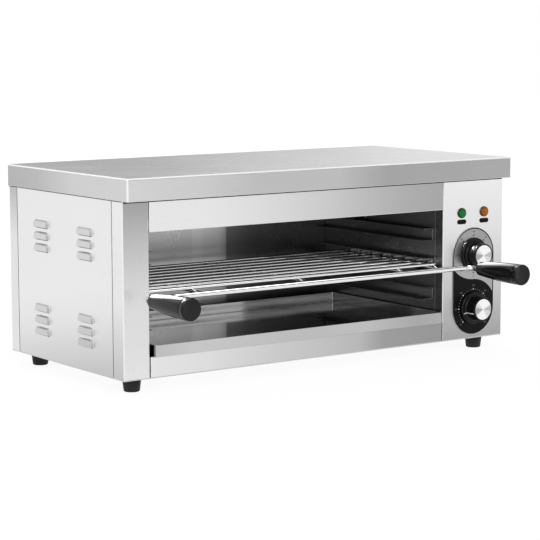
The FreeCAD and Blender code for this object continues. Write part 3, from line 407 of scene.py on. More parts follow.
def from_axis(finish, centre):
    """The flat vector from an axis along Y through a centre (x, z), and its length."""
    away = finish.vector("SUBTRACT", finish.place, (centre[0], 0.0, centre[1]))
    flat = finish.vector("MULTIPLY", away, (1.0, 0.0, 1.0))
    return flat, finish.vector("LENGTH", flat, output="Value")


# Darker fans painted on spun aluminium as reflections: angle from +X towards +Z, cosine where it
# starts, how dark it gets
SPUN_PAINTED_FANS = ((186.0, 0.80, 0.42), (2.0, 0.88, 0.55), (322.0, 0.90, 0.74), (146.0, 0.95, 0.82))


def spun(name, centre, roughness, pitch):
    """Aluminium turned on a lathe: rings about its centre, the fan-shaped shine that they give,
    partly from the shader and partly painted as darker reflection fans, and a small pale dot in the
    middle."""
    finish = Finish(name, grey(0.80), roughness, 1.0, Anisotropic=0.6)
    flat, radius = from_axis(finish, centre)
    rings = finish.maths("SINE", finish.maths("MULTIPLY", radius, 2 * math.pi / pitch))
    finish.bump(rings, 0.10, 0.02 * MM)
    finish.drive("Tangent", finish.vector("CROSS_PRODUCT", flat, ALONG_Y))
    unit = finish.vector("NORMALIZE", flat)
    level = finish.spread(finish.noise(900.0, 1.0), 0.86, 0.94)
    # Darker fans painted into the colour: painted reflections.
    for degrees, start, depth in SPUN_PAINTED_FANS:
        angle = math.radians(degrees)
        near = finish.dot(unit, (math.cos(angle), 0.0, math.sin(angle)))
        fan = finish.spread(near, 1.0, depth, start, 1.0, "SMOOTHSTEP")
        level = finish.maths("MULTIPLY", level, fan)
    middle = finish.spread(radius, 1.0, 0.0, 0.4 * MM, 1.2 * MM)
    finish.drive("Base Color", finish.mix(middle, level, 0.95))
    return finish.material


def lens(name, node, colour):
    """Coloured translucent lamp lens, moulded in small prisms, darker towards its rim."""
    finish = Finish(name, colour, 0.10, 0.0, Subsurface_Weight=0.2, Specular_IOR_Level=0.20)
    finish.set("Subsurface Radius", grey(3 * MM))
    low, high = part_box(node)
    reach = (high.x - low.x) / 2
    radius = from_axis(finish, ((low.x + high.x) / 2, (low.z + high.z) / 2))[1]
    facets = finish.node("ShaderNodeTexVoronoi")
    facets.inputs["Scale"].default_value = 620.0
    finish.link(finish.place, facets.inputs["Vector"])
    body = finish.mix(finish.spread(facets.outputs["Distance"], 0.0, 1.0, 0.0, 0.8),
                      scaled(colour, 1.35), scaled(colour, 0.75))
    rim = finish.spread(radius, 0.0, 1.0, reach * 0.72, reach * 0.98)
    finish.drive("Base Color", finish.mix(rim, body, scaled(colour, 0.22)))
    return finish.material


def sheath():
    """Oxidised heater tube, darker and greener in patches."""
    finish = Finish("heater_sheath", (0.10, 0.10, 0.095), 0.55, 0.6)
    patches = finish.noise(70.0, 5.0, roughness=0.6)
    tone = finish.mix(finish.spread(patches, 0.0, 1.0), (0.045, 0.05, 0.045), (0.17, 0.15, 0.13))
    finish.drive("Base Color", tone)
    finish.drive("Roughness", finish.spread(patches, 0.42, 0.7))
    finish.bump(finish.noise(1500.0, 3.0), 0.2, 0.05 * MM)
    return finish.material


def plain(name, colour, roughness, metallic=0.0, scale=300.0, shine=0.5):
    """A simple finish with a little unevenness in its tone and gloss."""
    finish = Finish(name, colour, roughness, metallic, Specular_IOR_Level=shine)
    specks = finish.noise(scale, 4.0)
    finish.drive("Roughness", finish.spread(specks, roughness - 0.06, roughness + 0.06))
    finish.drive("Base Color", finish.mix(specks, scaled(colour, 0.85), scaled(colour, 1.12)))
    finish.bump(finish.noise(scale * 4, 2.0), 0.08, 0.03 * MM)
    return finish.material


# Each sheet's grey levels, painted reflections and shade: a direction, then (distance along it in
# metres, level). They are set so that the render's tones come near the photograph's.

post_steel = steel(
    "post_steel", 0.27, upright=True,
    front=(ALONG_Z, ((0.02, 0.80), (0.06, 0.75), (0.10, 0.73), (0.14, 0.65), (0.18, 0.53),
                     (0.22, 0.40), (0.24, 0.35))),
    side=(ALONG_Z, ((0.02, 0.54), (0.06, 0.65), (0.11, 0.79), (0.24, 0.80))))
panel_steel = steel(
    "panel_steel", 0.27, upright=True,
    front=(ALONG_Z, ((0.02, 0.37), (0.05, 0.455), (0.08, 0.545), (0.12, 0.62), (0.17, 0.74),
                     (0.24, 0.83))),
    side=(ALONG_X, ((0.19, 0.16), (0.22, 0.16), (0.26, 0.74), (0.31, 0.76))))
fascia_steel = steel(
    "fascia_steel", 0.27, inside=0.12,
    front=(ALONG_X, ((-0.27, 0.79), (-0.18, 0.78), (-0.10, 0.71), (0.0, 0.59), (0.06, 0.50),
                     (0.13, 0.42), (0.20, 0.38))))
lower_steel = steel(
    "lower_steel", 0.27,
    front=(ALONG_X, ((-0.27, 0.81), (-0.18, 0.75), (-0.08, 0.61), (0.0, 0.54), (0.055, 0.49),
                     (0.095, 0.345), (0.20, 0.31))))
side_steel = steel(
    "side_steel", 0.30, pressed=True,
    front=(ALONG_Z, ((0.02, 0.72), (0.24, 0.76))),
    side=((0.0, 0.15, 1.0), ((0.005, 0.53), (0.0225, 0.575), (0.036, 0.63), (0.055, 0.69),
                             (0.0725, 0.755), (0.09, 0.79), (0.12, 0.82), (0.26, 0.79))))
rear_steel = steel(
    "rear_steel", 0.30,
    front=((0.4, 0.0, 1.0), ((-0.10, 0.50), (0.10, 0.58), (0.36, 0.47))),
    side=(ALONG_Z, ((0.02, 0.78), (0.17, 0.75), (0.23, 0.50))))
cover_steel = steel(
    "cover_steel", 0.27, clouds=0.02,
    front=(ALONG_X, ((-0.31, 0.64), (-0.20, 0.60), (-0.12, 0.51), (0.01, 0.50), (0.09, 0.37),
                     (0.31, 0.40))),
    side=(ALONG_Y, ((-0.11, 0.62), (0.02, 0.59), (0.12, 0.46), (0.20, 0.43))),
    top=((1.0, -0.61, 0.0), ((-0.43, 0.69), (-0.15, 0.685), (0.04, 0.64), (0.20, 0.63),
                             (0.40, 0.61))))
base_steel = steel(
    "base_steel", 0.34,
    front=(ALONG_X, ((-0.31, 0.60), (0.0, 0.64), (0.31, 0.60))))
# The chamber's sheets are darker copies of one bright steel: painted shade inside the chamber.
chamber_shaded_steel = bright_sheet("chamber_shaded_sheet", 0.10, 0.20)
runner_shaded_steel = bright_sheet("runner_shaded_sheet", 0.20, 0.22)
side_wall_shaded_steel = bright_sheet("side_wall_shaded_sheet", 0.20, 0.28)
# The back wall's grey levels are painted reflection, pale on the left and dark on the right.
back_wall_steel = bright_sheet(
    "back_sheet", 0.30, 0.28,
    front=(ALONG_X, ((-0.27, 0.52), (-0.06, 0.61), (-0.034, 0.62), (-0.033, 0.70), (-0.018, 0.70),
                     (-0.015, 0.65), (0.012, 0.66), (0.018, 0.56), (0.0218, 0.50), (0.0230, 0.20),
                     (0.06, 0.17), (0.20, 0.16))))
# The tray's floor levels are painted reflection, its darker side walls painted shade, its pale
# streaks painted reflection, and the painted highlight on its edges is held low.
tray_steel = bright_sheet(
    "tray_sheet", 0.52, 0.07, side=0.20, edge=0.45,
    front=(ALONG_X, ((-0.27, 0.50), (-0.20, 0.57), (-0.05, 0.50), (0.06, 0.51), (0.15, 0.39),
                     (0.20, 0.42))),
    painted_streaks=((0.0, 1.0, 5.8), ((0.320, 0.0), (0.340, 0.05), (0.362, 0.35), (0.380, 0.08),
                               (0.404, 0.55), (0.428, 0.15), (0.445, 0.9), (0.462, 1.0),
                               (0.480, 0.35), (0.495, 0.0))))
dial_metal = steel(
    "dial_aluminium", 0.30,
    front=((0.5, 0.0, 1.0), ((0.15, 0.40), (0.21, 0.42), (0.25, 0.37), (0.31, 0.33))))

wire = plated_wire()
grip_black = phenolic("grip_phenolic", 0.006, 0.08)
knob_black = phenolic("knob_phenolic", 0.006, 0.16)
ferrule_zinc = plain("ferrule_zinc", grey(0.30), 0.28, 1.0, scale=200.0)
foot_black = rubber()
green = lens("green_lens", "power_lamp_lens", (0.006, 0.190, 0.030))
amber = lens("amber_lens", "heat_lamp_lens", (0.40, 0.110, 0.003))
heater = sheath()
ceramic = plain("ceramic", (0.70, 0.66, 0.56), 0.55)
brass = plain("brass", (0.72, 0.53, 0.24), 0.30, 1.0)
copper = plain("copper", (0.62, 0.33, 0.20), 0.35, 1.0)
zinc = plain("zinc_plate", (0.68, 0.68, 0.70), 0.28, 1.0)
nylon = plain("black_nylon", grey(0.018), 0.45, shine=0.3)
moulded = plain("moulded_black", grey(0.03), 0.5)
black_ink = plain("black_ink", grey(0.004), 0.30, scale=500.0, shine=0.10)
painted_shadow_black = plain("painted_shadow_black", grey(0.012), 0.55, scale=700.0, shine=0.2)
white_ink = plain("white_ink", grey(0.72), 0.45, scale=500.0)
pale_ink = plain("pale_ink", grey(0.20), 0.45, scale=500.0, shine=0.2)
grey_ink = plain("grey_ink", grey(0.07), 0.45, scale=500.0, shine=0.2)

NODE_FINISH = {
    "base_plate": base_steel, "left_post": post_steel, "control_panel": panel_steel,
    "upper_fascia": fascia_steel, "lower_fascia": lower_steel, "left_side_panel": side_steel,
    "right_side_panel": side_steel, "rear_panel": rear_steel, "top_cover": cover_steel,
    "chamber_floor": chamber_shaded_steel, "chamber_ceiling": chamber_shaded_steel,
    "chamber_left_wall": side_wall_shaded_steel, "chamber_right_wall": side_wall_shaded_steel,
    "chamber_back_wall": back_wall_steel,
    "front_heating_element": heater, "rear_heating_element": heater,
    "element_brackets": chamber_shaded_steel, "element_bushings": ceramic, "element_terminals": brass,
    "rack_frame": wire,
    "rack_cross_rods": wire, "rack_support_wires": wire, "rack_handle_bar": wire,
    "left_grip": grip_black, "right_grip": grip_black, "grip_ferrules": ferrule_zinc,
    "crumb_tray": tray_steel, "dial_plate": dial_metal, "timer_knob": knob_black,
    "thermostat_knob": knob_black, "timer_shaft": zinc, "thermostat_shaft": zinc,
    "timer_switch": moulded, "thermostat": moulded, "thermostat_bulb": zinc,
    "bulb_clips": runner_shaded_steel, "thermostat_capillary": copper, "power_lamp_lens": green,
    "heat_lamp_lens": amber, "power_lamp_body": moulded, "heat_lamp_body": moulded,
    "lamp_tags": black_ink, "terminal_block": ceramic, "cable_gland": nylon, "gland_nut": nylon,
    "bonding_stud": brass, "feet": foot_black, "foot_screws": zinc, "foot_nuts": zinc,
    "cover_screws": zinc, "rear_panel_screws": zinc,
}


def dress_nodes():
    """Gives every CAD node its material. The six runners share one, and each cap has its own."""
    caps = {"timer_knob_cap": TIMER_Z, "thermostat_knob_cap": HEAT_Z}
    for node, item in NODES.items():
        if node in caps:
            finish = spun(node + "_spun", (DIAL_X, caps[node]), 0.22, 0.55 * MM)
        elif "runner" in node:
            finish = runner_shaded_steel
        else:
            finish = NODE_FINISH[node]
        item.data.materials.clear()
        item.data.materials.append(finish)


# Mesh helpers


def add_object(name, mesh, material, body):
    item = bpy.data.objects.new(name, mesh)
    bpy.context.scene.collection.objects.link(item)
    item.data.materials.append(material)
    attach(item, body)
    return item


def finish_bmesh(name, form, material, body, smooth=False):
    """Turns a bmesh into an object with outward normals that rides on a body."""
    bmesh.ops.recalc_face_normals(form, faces=form.faces)
    mesh = bpy.data.meshes.new(name)
    form.to_mesh(mesh)
    form.free()
    if smooth:
        mesh.shade_smooth()
    return add_object(name, mesh, material, body)


def bridge(form, one, two):
    """Faces between two closed rows of vertices. A row of one vertex closes the form to a point."""
    count = max(len(one), len(two))
    for i in range(count):
        j = (i + 1) % count
        if len(one) == 1:
            form.faces.new((one[0], two[i], two[j]))
        elif len(two) == 1:
            form.faces.new((one[i], two[0], one[j]))
        else:
            form.faces.new((one[i], two[i], two[j], one[j]))


def add_plate(form, loops, face_y, thickness):
    """A thin plate facing -Y. Its first loop of (x, z) points is the outline, the rest holes."""
    corners = [Vector((x, face_y - thickness, z)) for loop in loops for x, z in loop]
    front = [form.verts.new(corner) for corner in corners]
    back = [form.verts.new(corner + Vector((0, thickness, 0))) for corner in corners]
    for a, b, c in tessellate_polygon([[Vector((x, z, 0)) for x, z in loop] for loop in loops]):
        form.faces.new((front[a], front[b], front[c]))
        form.faces.new((back[c], back[b], back[a]))
    start = 0
    for loop in loops:
        end = start + len(loop)
        bridge(form, front[start:end], back[start:end])
        start = end


def add_prism(form, profile, near, far):
    """A bar along Y with a profile of (x, z) points."""
    front = [form.verts.new((x, near, z)) for x, z in profile]
    back = [form.verts.new((x, far, z)) for x, z in profile]
    form.faces.new(front)
    form.faces.new(list(reversed(back)))
    bridge(form, front, back)


def rectangle(left, right, low, high):
    return [(left, low), (right, low), (right, high), (left, high)]


def arc(centre, radius, start, end, steps):
    """Points of an arc in the XZ plane, in degrees from +X towards +Z."""
    angles = [math.radians(start + (end - start) * i / steps) for i in range(steps + 1)]
    return [(centre[0] + radius * math.cos(a), centre[1] + radius * math.sin(a)) for a in angles]


def circle(centre, radius, steps):
    return arc(centre, radius, 0, 360, steps)[:-1]


def add_text(form, text, size, centre, face_y, thickness):
    """Raised characters that face -Y, centred on (x, z)."""
    curve = bpy.data.curves.new("characters", "FONT")
    curve.body = text
    curve.size = size
    curve.align_x = "CENTER"
    curve.align_y = "CENTER"
    curve.extrude = thickness / 2
    curve.resolution_u = 3
    item = bpy.data.objects.new("characters", curve)
    mesh = bpy.data.meshes.new_from_object(item)
    upright = Matrix.Translation((centre[0], face_y - thickness / 2, centre[1])) @ Matrix.Rotation(
        math.radians(90), 4, "X")
    mesh.transform(upright)
    form.from_mesh(mesh)
    bpy.data.meshes.remove(mesh)
    bpy.data.objects.remove(item)
    bpy.data.curves.remove(curve)


# Printed dial


def border_z(x):
    """Height of the border between the silver and the black field, at x from the dial's middle."""
    meet = TIMER_Z - DIVIDE_BELOW_TIMER
    if x < 0:
        return meet + SILVER_ARC - math.sqrt(SILVER_ARC ** 2 - x ** 2)
    return meet - BLACK_ARC + math.sqrt(BLACK_ARC ** 2 - x ** 2)


def black_field():
    """The dial's black print: the lower field and the line round the silver field."""
    outer = DIAL_RADIUS - PRINT_EDGE
    inner = outer - RIM_INK
    steps = 24
    outline = arc((DIAL_X, TIMER_Z), outer, 180, 0, steps)
    outline += arc((DIAL_X, HEAT_Z), outer, 0, -180, steps)
    xs = [inner * (1 - 2 * i / steps) for i in range(steps + 1)]
    silver = arc((DIAL_X, TIMER_Z), inner, 180, 0, steps) + [(DIAL_X + x, border_z(x)) for x in xs]
    shaft = circle((DIAL_X, HEAT_Z), SHAFT_HOLE, 16)
    form = bmesh.new()
    add_plate(form, [outline, silver, shaft], DIAL_FACE, LIFT)
    finish_bmesh("dial_black_field", form, black_ink, "cabinet")


def polar(centre_z, radius, degrees):
    angle = math.radians(degrees)
    return DIAL_X + radius * math.cos(angle), centre_z + radius * math.sin(angle)


def scale_marks(name, centre_z, face_y, start, values, between, small_dot, inks):
    """Dots and numbers round one knob, clockwise from a start angle in degrees, with some smaller
    dots between two numbers. The inks are the dots' and the numbers'."""
    form, numbers = bmesh.new(), bmesh.new()
    for i, value in enumerate(values):
        at = start - i * STEP
        add_plate(form, [circle(polar(centre_z, MARK_CIRCLE, at), DOT, 14)], face_y, LIFT)
        add_text(numbers, str(value), NUMBER_SIZE, polar(centre_z, NUMBER_CIRCLE, at), face_y, LIFT)
        if i + 1 < len(values):
            for j in range(between):
                small = polar(centre_z, MARK_CIRCLE, at - (j + 1) * STEP / (between + 1))
                add_plate(form, [circle(small, small_dot, 8)], face_y, LIFT)
    finish_bmesh(name, form, inks[0], "cabinet")
    finish_bmesh(name + "_numbers", numbers, inks[1], "cabinet")


# Knobs and grips


def turned_piece(name, node, profile, material, body):
    """A smooth turned piece in place of a node, about the node's axis along Y. The profile has
    (radius, distance before the node's rear end) points, from the axis and back to it."""
    low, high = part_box(node)
    x, z = (low.x + high.x) / 2, (low.z + high.z) / 2
    turns = [2 * math.pi * i / TURN_STEPS for i in range(TURN_STEPS)]
    form = bmesh.new()
    rows = []
    for radius, reach in profile:
        angles = turns if radius > 0 else turns[:1]
        rows.append([form.verts.new((x + radius * math.cos(a), high.y - reach,
                                     z + radius * math.sin(a))) for a in angles])
    for one, two in zip(rows, rows[1:]):
        bridge(form, one, two)
    item = finish_bmesh(name, form, material, body, smooth=True)
    item.data.set_sharp_from_angle(angle=SHARP_BEND)
    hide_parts(node)
    return item


def millimetres(points):
    return [(radius * MM, reach * MM) for radius, reach in points]


def grip_profile():
    """A tapered grip with a slight belly, a collar before its front end and a shallow dish in it.
    The bar's hole is 40 mm deep from behind."""
    rear_radius, taper, belly, length = 9.0, 4.8, 1.05, 78
    rounding, side_end, steps = 3, 77, 16

    def side(reach):
        share = reach / length
        return rear_radius + taper * share + belly * math.sin(math.pi * share)

    reaches = [rounding + (side_end - rounding) * i / steps for i in range(1, steps + 1)]
    points = [(0, 40), (3.55, 40), (3.55, 0)]
    points += arc((side(rounding) - rounding, rounding), rounding, -90, 0, 8)
    points += [(side(reach), reach) for reach in reaches]
    points += [(13.62, 77.6), (13.62, 78.0), (13.8, 78.4), (13.8, 82.2)]
    points += arc((12.0, 82.2), 1.8, 0, 90, 8) + [(11.4, 83.95), (11.0, 83.75), (0, 83.7)]
    return millimetres(points)


def knob_profile():
    """A knob: bevelled skirt, cove, tapered body and a black rim round the cap's seat. The shaft's
    hole is 15.5 mm deep from behind."""
    points = [(0, 15.5), (3.05, 15.5), (3.05, 0), (22.2, 0), (22.4, 0.2), (22.4, 1.5)]
    points += arc((20.3, 1.5), 2.1, 10, 90, 7)
    points += arc((19.2, 6.6), 3.0, 270, 180, 9)
    points += [(16.2, 12.0), (16.0, 19.6)] + arc((15.3, 19.95), 0.7, 0, 90, 5)
    points += [(14.05, 20.65), (13.95, 20.5), (13.95, 19.4), (0, 19.4)]
    return millimetres(points)


def pointer(name, node, body, degrees):
    """The white line over a knob's skirt, cove and side. Angle in degrees from +X towards +Z."""
    low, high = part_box(node)
    centre = Vector(((low.x + high.x) / 2, 0, (low.z + high.z) / 2))
    skirt_face = high.y - 3.6 * MM
    side, cove = 16.2 * MM, 3.0 * MM
    outer = (high.x - low.x) / 2 - 1.8 * MM
    profile = [(outer, skirt_face), (side + cove, skirt_face)]
    steps = 5
    for step in range(1, steps + 1):
        angle = math.radians(90 * step / steps)
        out, forward = cove * (1 - math.sin(angle)), cove * (1 - math.cos(angle))
        profile.append((side + out, skirt_face - forward))
    profile.append((side - 0.15 * MM, low.y + 1.4 * MM))
    turn = math.radians(degrees)
    outward = Vector((math.cos(turn), 0, math.sin(turn)))
    sideways = Vector((-math.sin(turn), 0, math.cos(turn))) * POINTER_WIDTH / 2
    form = bmesh.new()
    rows = []
    for i, (radius, y) in enumerate(profile):
        before, after = profile[max(i - 1, 0)], profile[min(i + 1, len(profile) - 1)]
        run = Vector((after[0] - before[0], after[1] - before[1])).normalized()
        over = (outward * run.y - Vector((0, run.x, 0))) * LIFT
        base = centre + outward * radius + Vector((0, y, 0))
        top, under = base + over, base - over * 2
        rows.append([form.verts.new(place) for place in (
            top - sideways, top + sideways, under + sideways, under - sideways)])
    for one, two in zip(rows, rows[1:]):
        bridge(form, one, two)
    form.faces.new(rows[0])
    form.faces.new(rows[-1])
    finish_bmesh(name, form, white_ink, body, smooth=True)


# Wire rack


def weld_nuggets():
    """The small spot-weld swellings where the cross rods sit on the frame and on the wires."""
    rods_low, rods_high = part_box("rack_cross_rods")
    frame_low, frame_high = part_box("rack_frame")
    wires_low, wires_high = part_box("rack_support_wires")
    rod = (rods_high.z - rods_low.z) / 2
    frame_rod = (frame_high.z - frame_low.z) / 2
    first, last = rods_low.y + rod, rods_high.y - rod
    columns = [frame_low.x + frame_rod, frame_high.x - frame_rod, wires_low.x + rod,
               (wires_low.x + wires_high.x) / 2, wires_high.x - rod]
    form = bmesh.new()
    for x in columns:
        for i in range(CROSS_RODS):
            y = first + (last - first) * i / (CROSS_RODS - 1)
            place = Matrix.Translation((x, y, rods_low.z)) @ Matrix.Diagonal((*NUGGET, 1.0))
            bmesh.ops.create_uvsphere(form, u_segments=10, v_segments=6, radius=1.0, matrix=place)
    finish_bmesh("rack_weld_nuggets", form, wire, "rack", smooth=True)


def ferrule_rings():
    """A thin black ring round each ferrule, where it meets the bar's end."""
    low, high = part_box("grip_ferrules")
    radius = (high.z - low.z) / 2
    z = (low.z + high.z) / 2
    form = bmesh.new()
    for x in (low.x + radius, high.x - radius):
        rows = []
        for out, reach in millimetres(((-0.2, 2.2), (0.15, 2.4), (0.15, 3.3), (-0.2, 3.5))):
            rows.append([form.verts.new((px, high.y - reach, pz))
                         for px, pz in circle((x, z), radius + out, 32)])
        for one, two in zip(rows, rows[1:] + rows[:1]):
            bridge(form, one, two)
    finish_bmesh("ferrule_rings", form, moulded, "rack")


# Painted shadow lines in the cabinet's joints


def sealed_joints():
    """Thin black strips that paint shadow: under the cover's sides, beside the lower fascia, in the
    seams beside the side panels and in the gap under the cover's front."""
    skin_low, skin_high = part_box("rear_panel")
    cover_low, cover_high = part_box("top_cover")
    post_low, post_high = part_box("left_post")
    panel_low, panel_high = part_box("control_panel")
    lower_low, lower_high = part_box("lower_fascia")
    under = cover_low.z
    form = bmesh.new()
    for inner, outer in ((skin_low.x, cover_low.x), (skin_high.x, cover_high.x)):
        reach = outer - (outer - inner) * 0.15
        profile = [(inner, under), (reach, under), (reach, under - SHADOW_LINE),
                   (inner, under - SHADOW_LINE * 1.3)]
        add_prism(form, profile, post_low.y + SHADOW_LINE_END, skin_high.y - SHADOW_LINE_END)
        line = math.copysign(LIFT, outer)
        seam = rectangle(inner - line * 3, inner + line, skin_low.z + MM, under)
        add_prism(form, seam, post_high.y, post_high.y + SEAM)
        add_prism(form, seam, skin_low.y - SEAM, skin_low.y)
    edge = panel_low.x
    add_prism(form, rectangle(edge - SHADOW_LINE, edge, lower_low.z, lower_high.z),
              lower_low.y - LIFT, lower_low.y + SHADOW_LINE)
    gap = rectangle(post_low.x + SHADOW_LINE_END, panel_high.x - SHADOW_LINE_END, under, under - COVER_GAP)
    add_prism(form, gap, panel_low.y - LIFT, panel_low.y + LIFT)
    finish_bmesh("sealed_joints", form, painted_shadow_black, "cabinet")


# Studio

FLOOR_GLOW = 0.86                    # how much of the floor is plain glow, near the object
MIDDLE = (0, 0, 0.1)                 # where most lamps point
RACK_WIRES = ("rack_frame", "rack_cross_rods", "rack_support_wires", "rack_handle_bar")
CAMERA_PLACE = Vector((-1.4932, -2.0741, 0.4524))
CAMERA_YAW = math.radians(35.324)    # to the right of straight ahead
CAMERA_PITCH = math.radians(7.379)   # downwards
CAMERA_ROLL = -0.0026                # radians
FOCAL_LENGTH = 129.89                # millimetres, for a sensor 36 mm wide


def area_light(name, place, target, width, height, power):
    light = bpy.data.lights.new(name, "AREA")
    light.shape = "RECTANGLE"
    light.size = width
    light.size_y = height
    light.energy = power
    item = bpy.data.objects.new(name, light)
    item.location = place
    item.rotation_euler = (Vector(target) - Vector(place)).to_track_quat("-Z", "Y").to_euler()
    bpy.context.scene.collection.objects.link(item)
    return item


def only_for(light, lit):
    """Makes a lamp or a card light some pieces alone. Returns their collection."""
    group = bpy.data.collections.new(light.name + "_lit")
    for piece in lit:
        group.objects.link(piece)
    light.light_linking.receiver_collection = group
    return group


def seen_directly(tree):
    """A factor that is 1 for camera, glossy and transmission rays and 0 for the rest."""
    path = tree.nodes.new("ShaderNodeLightPath")
    total = path.outputs["Is Camera Ray"]
    for ray in ("Is Glossy Ray", "Is Transmission Ray"):
        step = tree.nodes.new("ShaderNodeMath")
        step.operation = "MAXIMUM"
        tree.links.new(total, step.inputs[0])
        tree.links.new(path.outputs[ray], step.inputs[1])
        total = step.outputs[0]
    return total


def mixed(tree, factor, first, second, target):
    """Mixes two shaders into a surface socket."""
    mix = tree.nodes.new("ShaderNodeMixShader")
    for source, socket in ((factor, mix.inputs["Fac"]), (first, mix.inputs[1]),
                           (second, mix.inputs[2]), (mix.outputs[0], target)):
        tree.links.new(source, socket)


def world():
    """White where it is seen, at a plain level where it only lights the object."""
    item = bpy.data.worlds.new("studio")
    bpy.context.scene.world = item
    item.use_nodes = True
    tree = item.node_tree
    tree.nodes.clear()
    unseen = tree.nodes.new("ShaderNodeBackground")
    seen = tree.nodes.new("ShaderNodeBackground")
    for background, strength in ((unseen, 0.55), (seen, 1.0)):
        background.inputs["Color"].default_value = (1, 1, 1, 1)
        background.inputs["Strength"].default_value = strength
    out = tree.nodes.new("ShaderNodeOutputWorld")
    mixed(tree, seen_directly(tree), unseen.outputs[0], seen.outputs[0], out.inputs["Surface"])


def flat_shape(name, corners, material):
    """A staged flat piece through four corners."""
    mesh = bpy.data.meshes.new(name)
    mesh.from_pydata([tuple(corner) for corner in corners], [], [tuple(range(len(corners)))])
    item = bpy.data.objects.new(name, mesh)
    bpy.context.scene.collection.objects.link(item)
    item.data.materials.append(material)
    return item


def floor():
    """A wide pale floor that looks white, keeps the object's soft shadow and only glows far away."""
    paper = Finish("floor_paper", grey(0.82), 0.9, 0.0, Specular_IOR_Level=0.0)
    tree = paper.tree
    glow = tree.nodes.new("ShaderNodeEmission")
    glow.inputs["Strength"].default_value = 1.06
    away = paper.vector("LENGTH", paper.place, output="Value")
    seen = seen_directly(tree)
    share = paper.maths("MULTIPLY", seen, paper.spread(away, FLOOR_GLOW, 1.0, 0.7, 2.2))
    surface = tree.nodes["Material Output"].inputs["Surface"]
    mixed(tree, share, paper.shader.outputs[0], glow.outputs[0], surface)
    flat_shape("floor", [(-6, -6, 0), (6, -6, 0), (6, 6, 0), (-6, 6, 0)], paper.material)


def shaded_card(name, corners, along, stops, strength=1.0, sheer=False):
    """A card of the studio, shaded along a direction, that only shows in glossy surfaces. A sheer
    one hides nothing behind it."""
    card_finish = Finish(name, grey(0.5))
    tree = card_finish.tree
    glow = tree.nodes.new("ShaderNodeEmission")
    glow.inputs["Strength"].default_value = strength
    tree.links.new(card_finish.ramp(along, stops), glow.inputs["Color"])
    surface = glow.outputs[0]
    if sheer:
        both = tree.nodes.new("ShaderNodeAddShader")
        tree.links.new(surface, both.inputs[0])
        tree.links.new(tree.nodes.new("ShaderNodeBsdfTransparent").outputs[0], both.inputs[1])
        surface = both.outputs[0]
    tree.links.new(surface, tree.nodes["Material Output"].inputs["Surface"])
    tree.nodes.remove(card_finish.shader)
    card = flat_shape(name, corners, card_finish.material)
    card.visible_camera = False
    card.visible_diffuse = False
    card.visible_shadow = False
    card.visible_transmission = False
    return card


def mirrored_cards():
    """What the sheets mirror: a shaded card behind on the right, a dark one in front on the right
    and a grey one overhead."""
    shaded_card("rear_card", [(0.3, 2.0, 0.0), (2.6, 2.0, 0.0), (2.6, 2.0, 1.8), (0.3, 2.0, 1.8)],
                ALONG_X, ((0.3, 0.42), (1.05, 0.45), (1.2, 0.57), (1.31, 0.63), (1.44, 0.71),
                          (1.57, 0.77), (1.66, 0.82), (1.74, 0.92), (1.95, 1.0), (2.6, 1.0)))
    shaded_card("flag_card", [(0.1, -2.25, 0.80), (2.15, -0.2, 0.80), (2.15, -0.2, 1.95),
                              (0.1, -2.25, 1.95)], ALONG_X, ((0.1, 0.10), (2.15, 0.10)))
    shaded_card("ceiling_card", [(-1.9, -1.7, 2.1), (1.9, -1.7, 2.1), (1.9, 1.7, 2.1),
                                 (-1.9, 1.7, 2.1)], ALONG_X, ((-1.9, 0.70), (1.9, 0.60)))


def grip_card(grip, strength, fade):
    """A small sheer card over a grip, which alone mirrors it. It fades towards the front."""
    points = [Vector(corner) for corner in grip.bound_box]
    x = sum(point.x for point in points) / 8
    front, rear = min(point.y for point in points), max(point.y for point in points)
    over = max(point.z for point in points) + 7 * MM
    near, far = front + 8 * MM, rear + 31 * MM
    sides = ((-6, near), (-13, far), (16, far), (1, near))
    corners = [(x + side * MM, y, over) for side, y in sides]
    card = shaded_card(grip.name + "_card", corners, ALONG_Y, ((near, fade), (far, 1.0)),
                       strength, True)
    only_for(card, [grip])


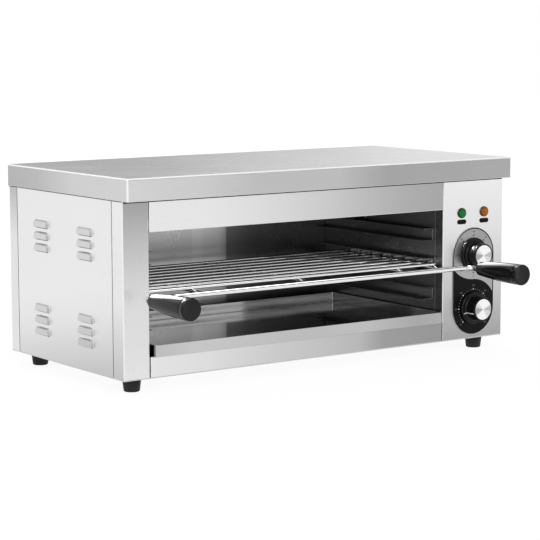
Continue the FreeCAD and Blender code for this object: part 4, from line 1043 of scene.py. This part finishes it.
def lamps(grips, timer_knob):
    """Soft lamps. Three of them light the grips, the timer's knob and the rack's wires alone."""
    only_for(area_light("rim_softbox", (-0.07, -1.52, 1.71), (0, -0.2, 0.13), 1.9, 0.35, 60), grips)
    softbox = area_light("knob_softbox", (0.05, 1.54, 1.30), (0.25, -0.1, 0.13), 1.2, 0.5, 60)
    softbox.light_linking.blocker_collection = only_for(softbox, [timer_knob])
    softbox.data.cycles.use_multiple_importance_sampling = False
    only_for(area_light("rack_softbox", (0.55, -0.25, 1.7), MIDDLE, 1.8, 1.2, 22),
             [NODES[name] for name in RACK_WIRES])
    area_light("key_softbox", (-1.5, -2.3, 1.7), MIDDLE, 1.8, 1.4, 31.5)
    area_light("top_softbox", (0.55, -0.25, 1.7), MIDDLE, 2.6, 2.2, 6)
    area_light("rear_softbox", (0.1, 1.5, 1.5), MIDDLE, 2.2, 1.0, 5)


def camera():
    lens_data = bpy.data.cameras.new("photo_camera")
    lens_data.sensor_width = 36.0
    lens_data.lens = FOCAL_LENGTH
    item = bpy.data.objects.new("photo_camera", lens_data)
    forward = Vector((math.sin(CAMERA_YAW) * math.cos(CAMERA_PITCH),
                      math.cos(CAMERA_YAW) * math.cos(CAMERA_PITCH), -math.sin(CAMERA_PITCH)))
    item.rotation_mode = "QUATERNION"
    item.rotation_quaternion = forward.to_track_quat("-Z", "Y") @ Matrix.Rotation(
        CAMERA_ROLL, 3, "Z").to_quaternion()
    item.location = CAMERA_PLACE
    bpy.context.scene.collection.objects.link(item)
    bpy.context.scene.camera = item


dress_nodes()
black_field()
scale_marks("timer_scale", TIMER_Z, DIAL_FACE, TIMER_STOP, range(0, 70, 10), 1, 0.55 * MM,
            (black_ink, grey_ink))
scale_marks("thermostat_scale", HEAT_Z, DIAL_FACE - LIFT, HEAT_STOP, range(0, 350, 50), 4,
            0.38 * MM, (white_ink, pale_ink))
pointer("timer_pointer", "timer_knob", "timer_dial", TIMER_STOP)
pointer("thermostat_pointer", "thermostat_knob", "thermostat_dial", HEAT_SHOWN)
grips = [turned_piece(node + "_moulded", node, grip_profile(), grip_black, "rack")
         for node in ("left_grip", "right_grip")]
knobs = [turned_piece(node + "_moulded", node, knob_profile(), knob_black, body)
         for node, body in (("timer_knob", "timer_dial"), ("thermostat_knob", "thermostat_dial"))]
weld_nuggets()
ferrule_rings()
sealed_joints()
for item in grips + [NODES["grip_ferrules"], NODES["rack_handle_bar"]]:
    item.visible_glossy = False     # the photograph's steel doesn't mirror them

world()
floor()
mirrored_cards()
for grip, strength, fade in zip(grips, (12.0, 18.0), (0.9, 0.12)):
    grip_card(grip, strength, fade)
lamps(grips, knobs[0])
camera()

bpy.context.scene.view_settings.view_transform = "Standard"
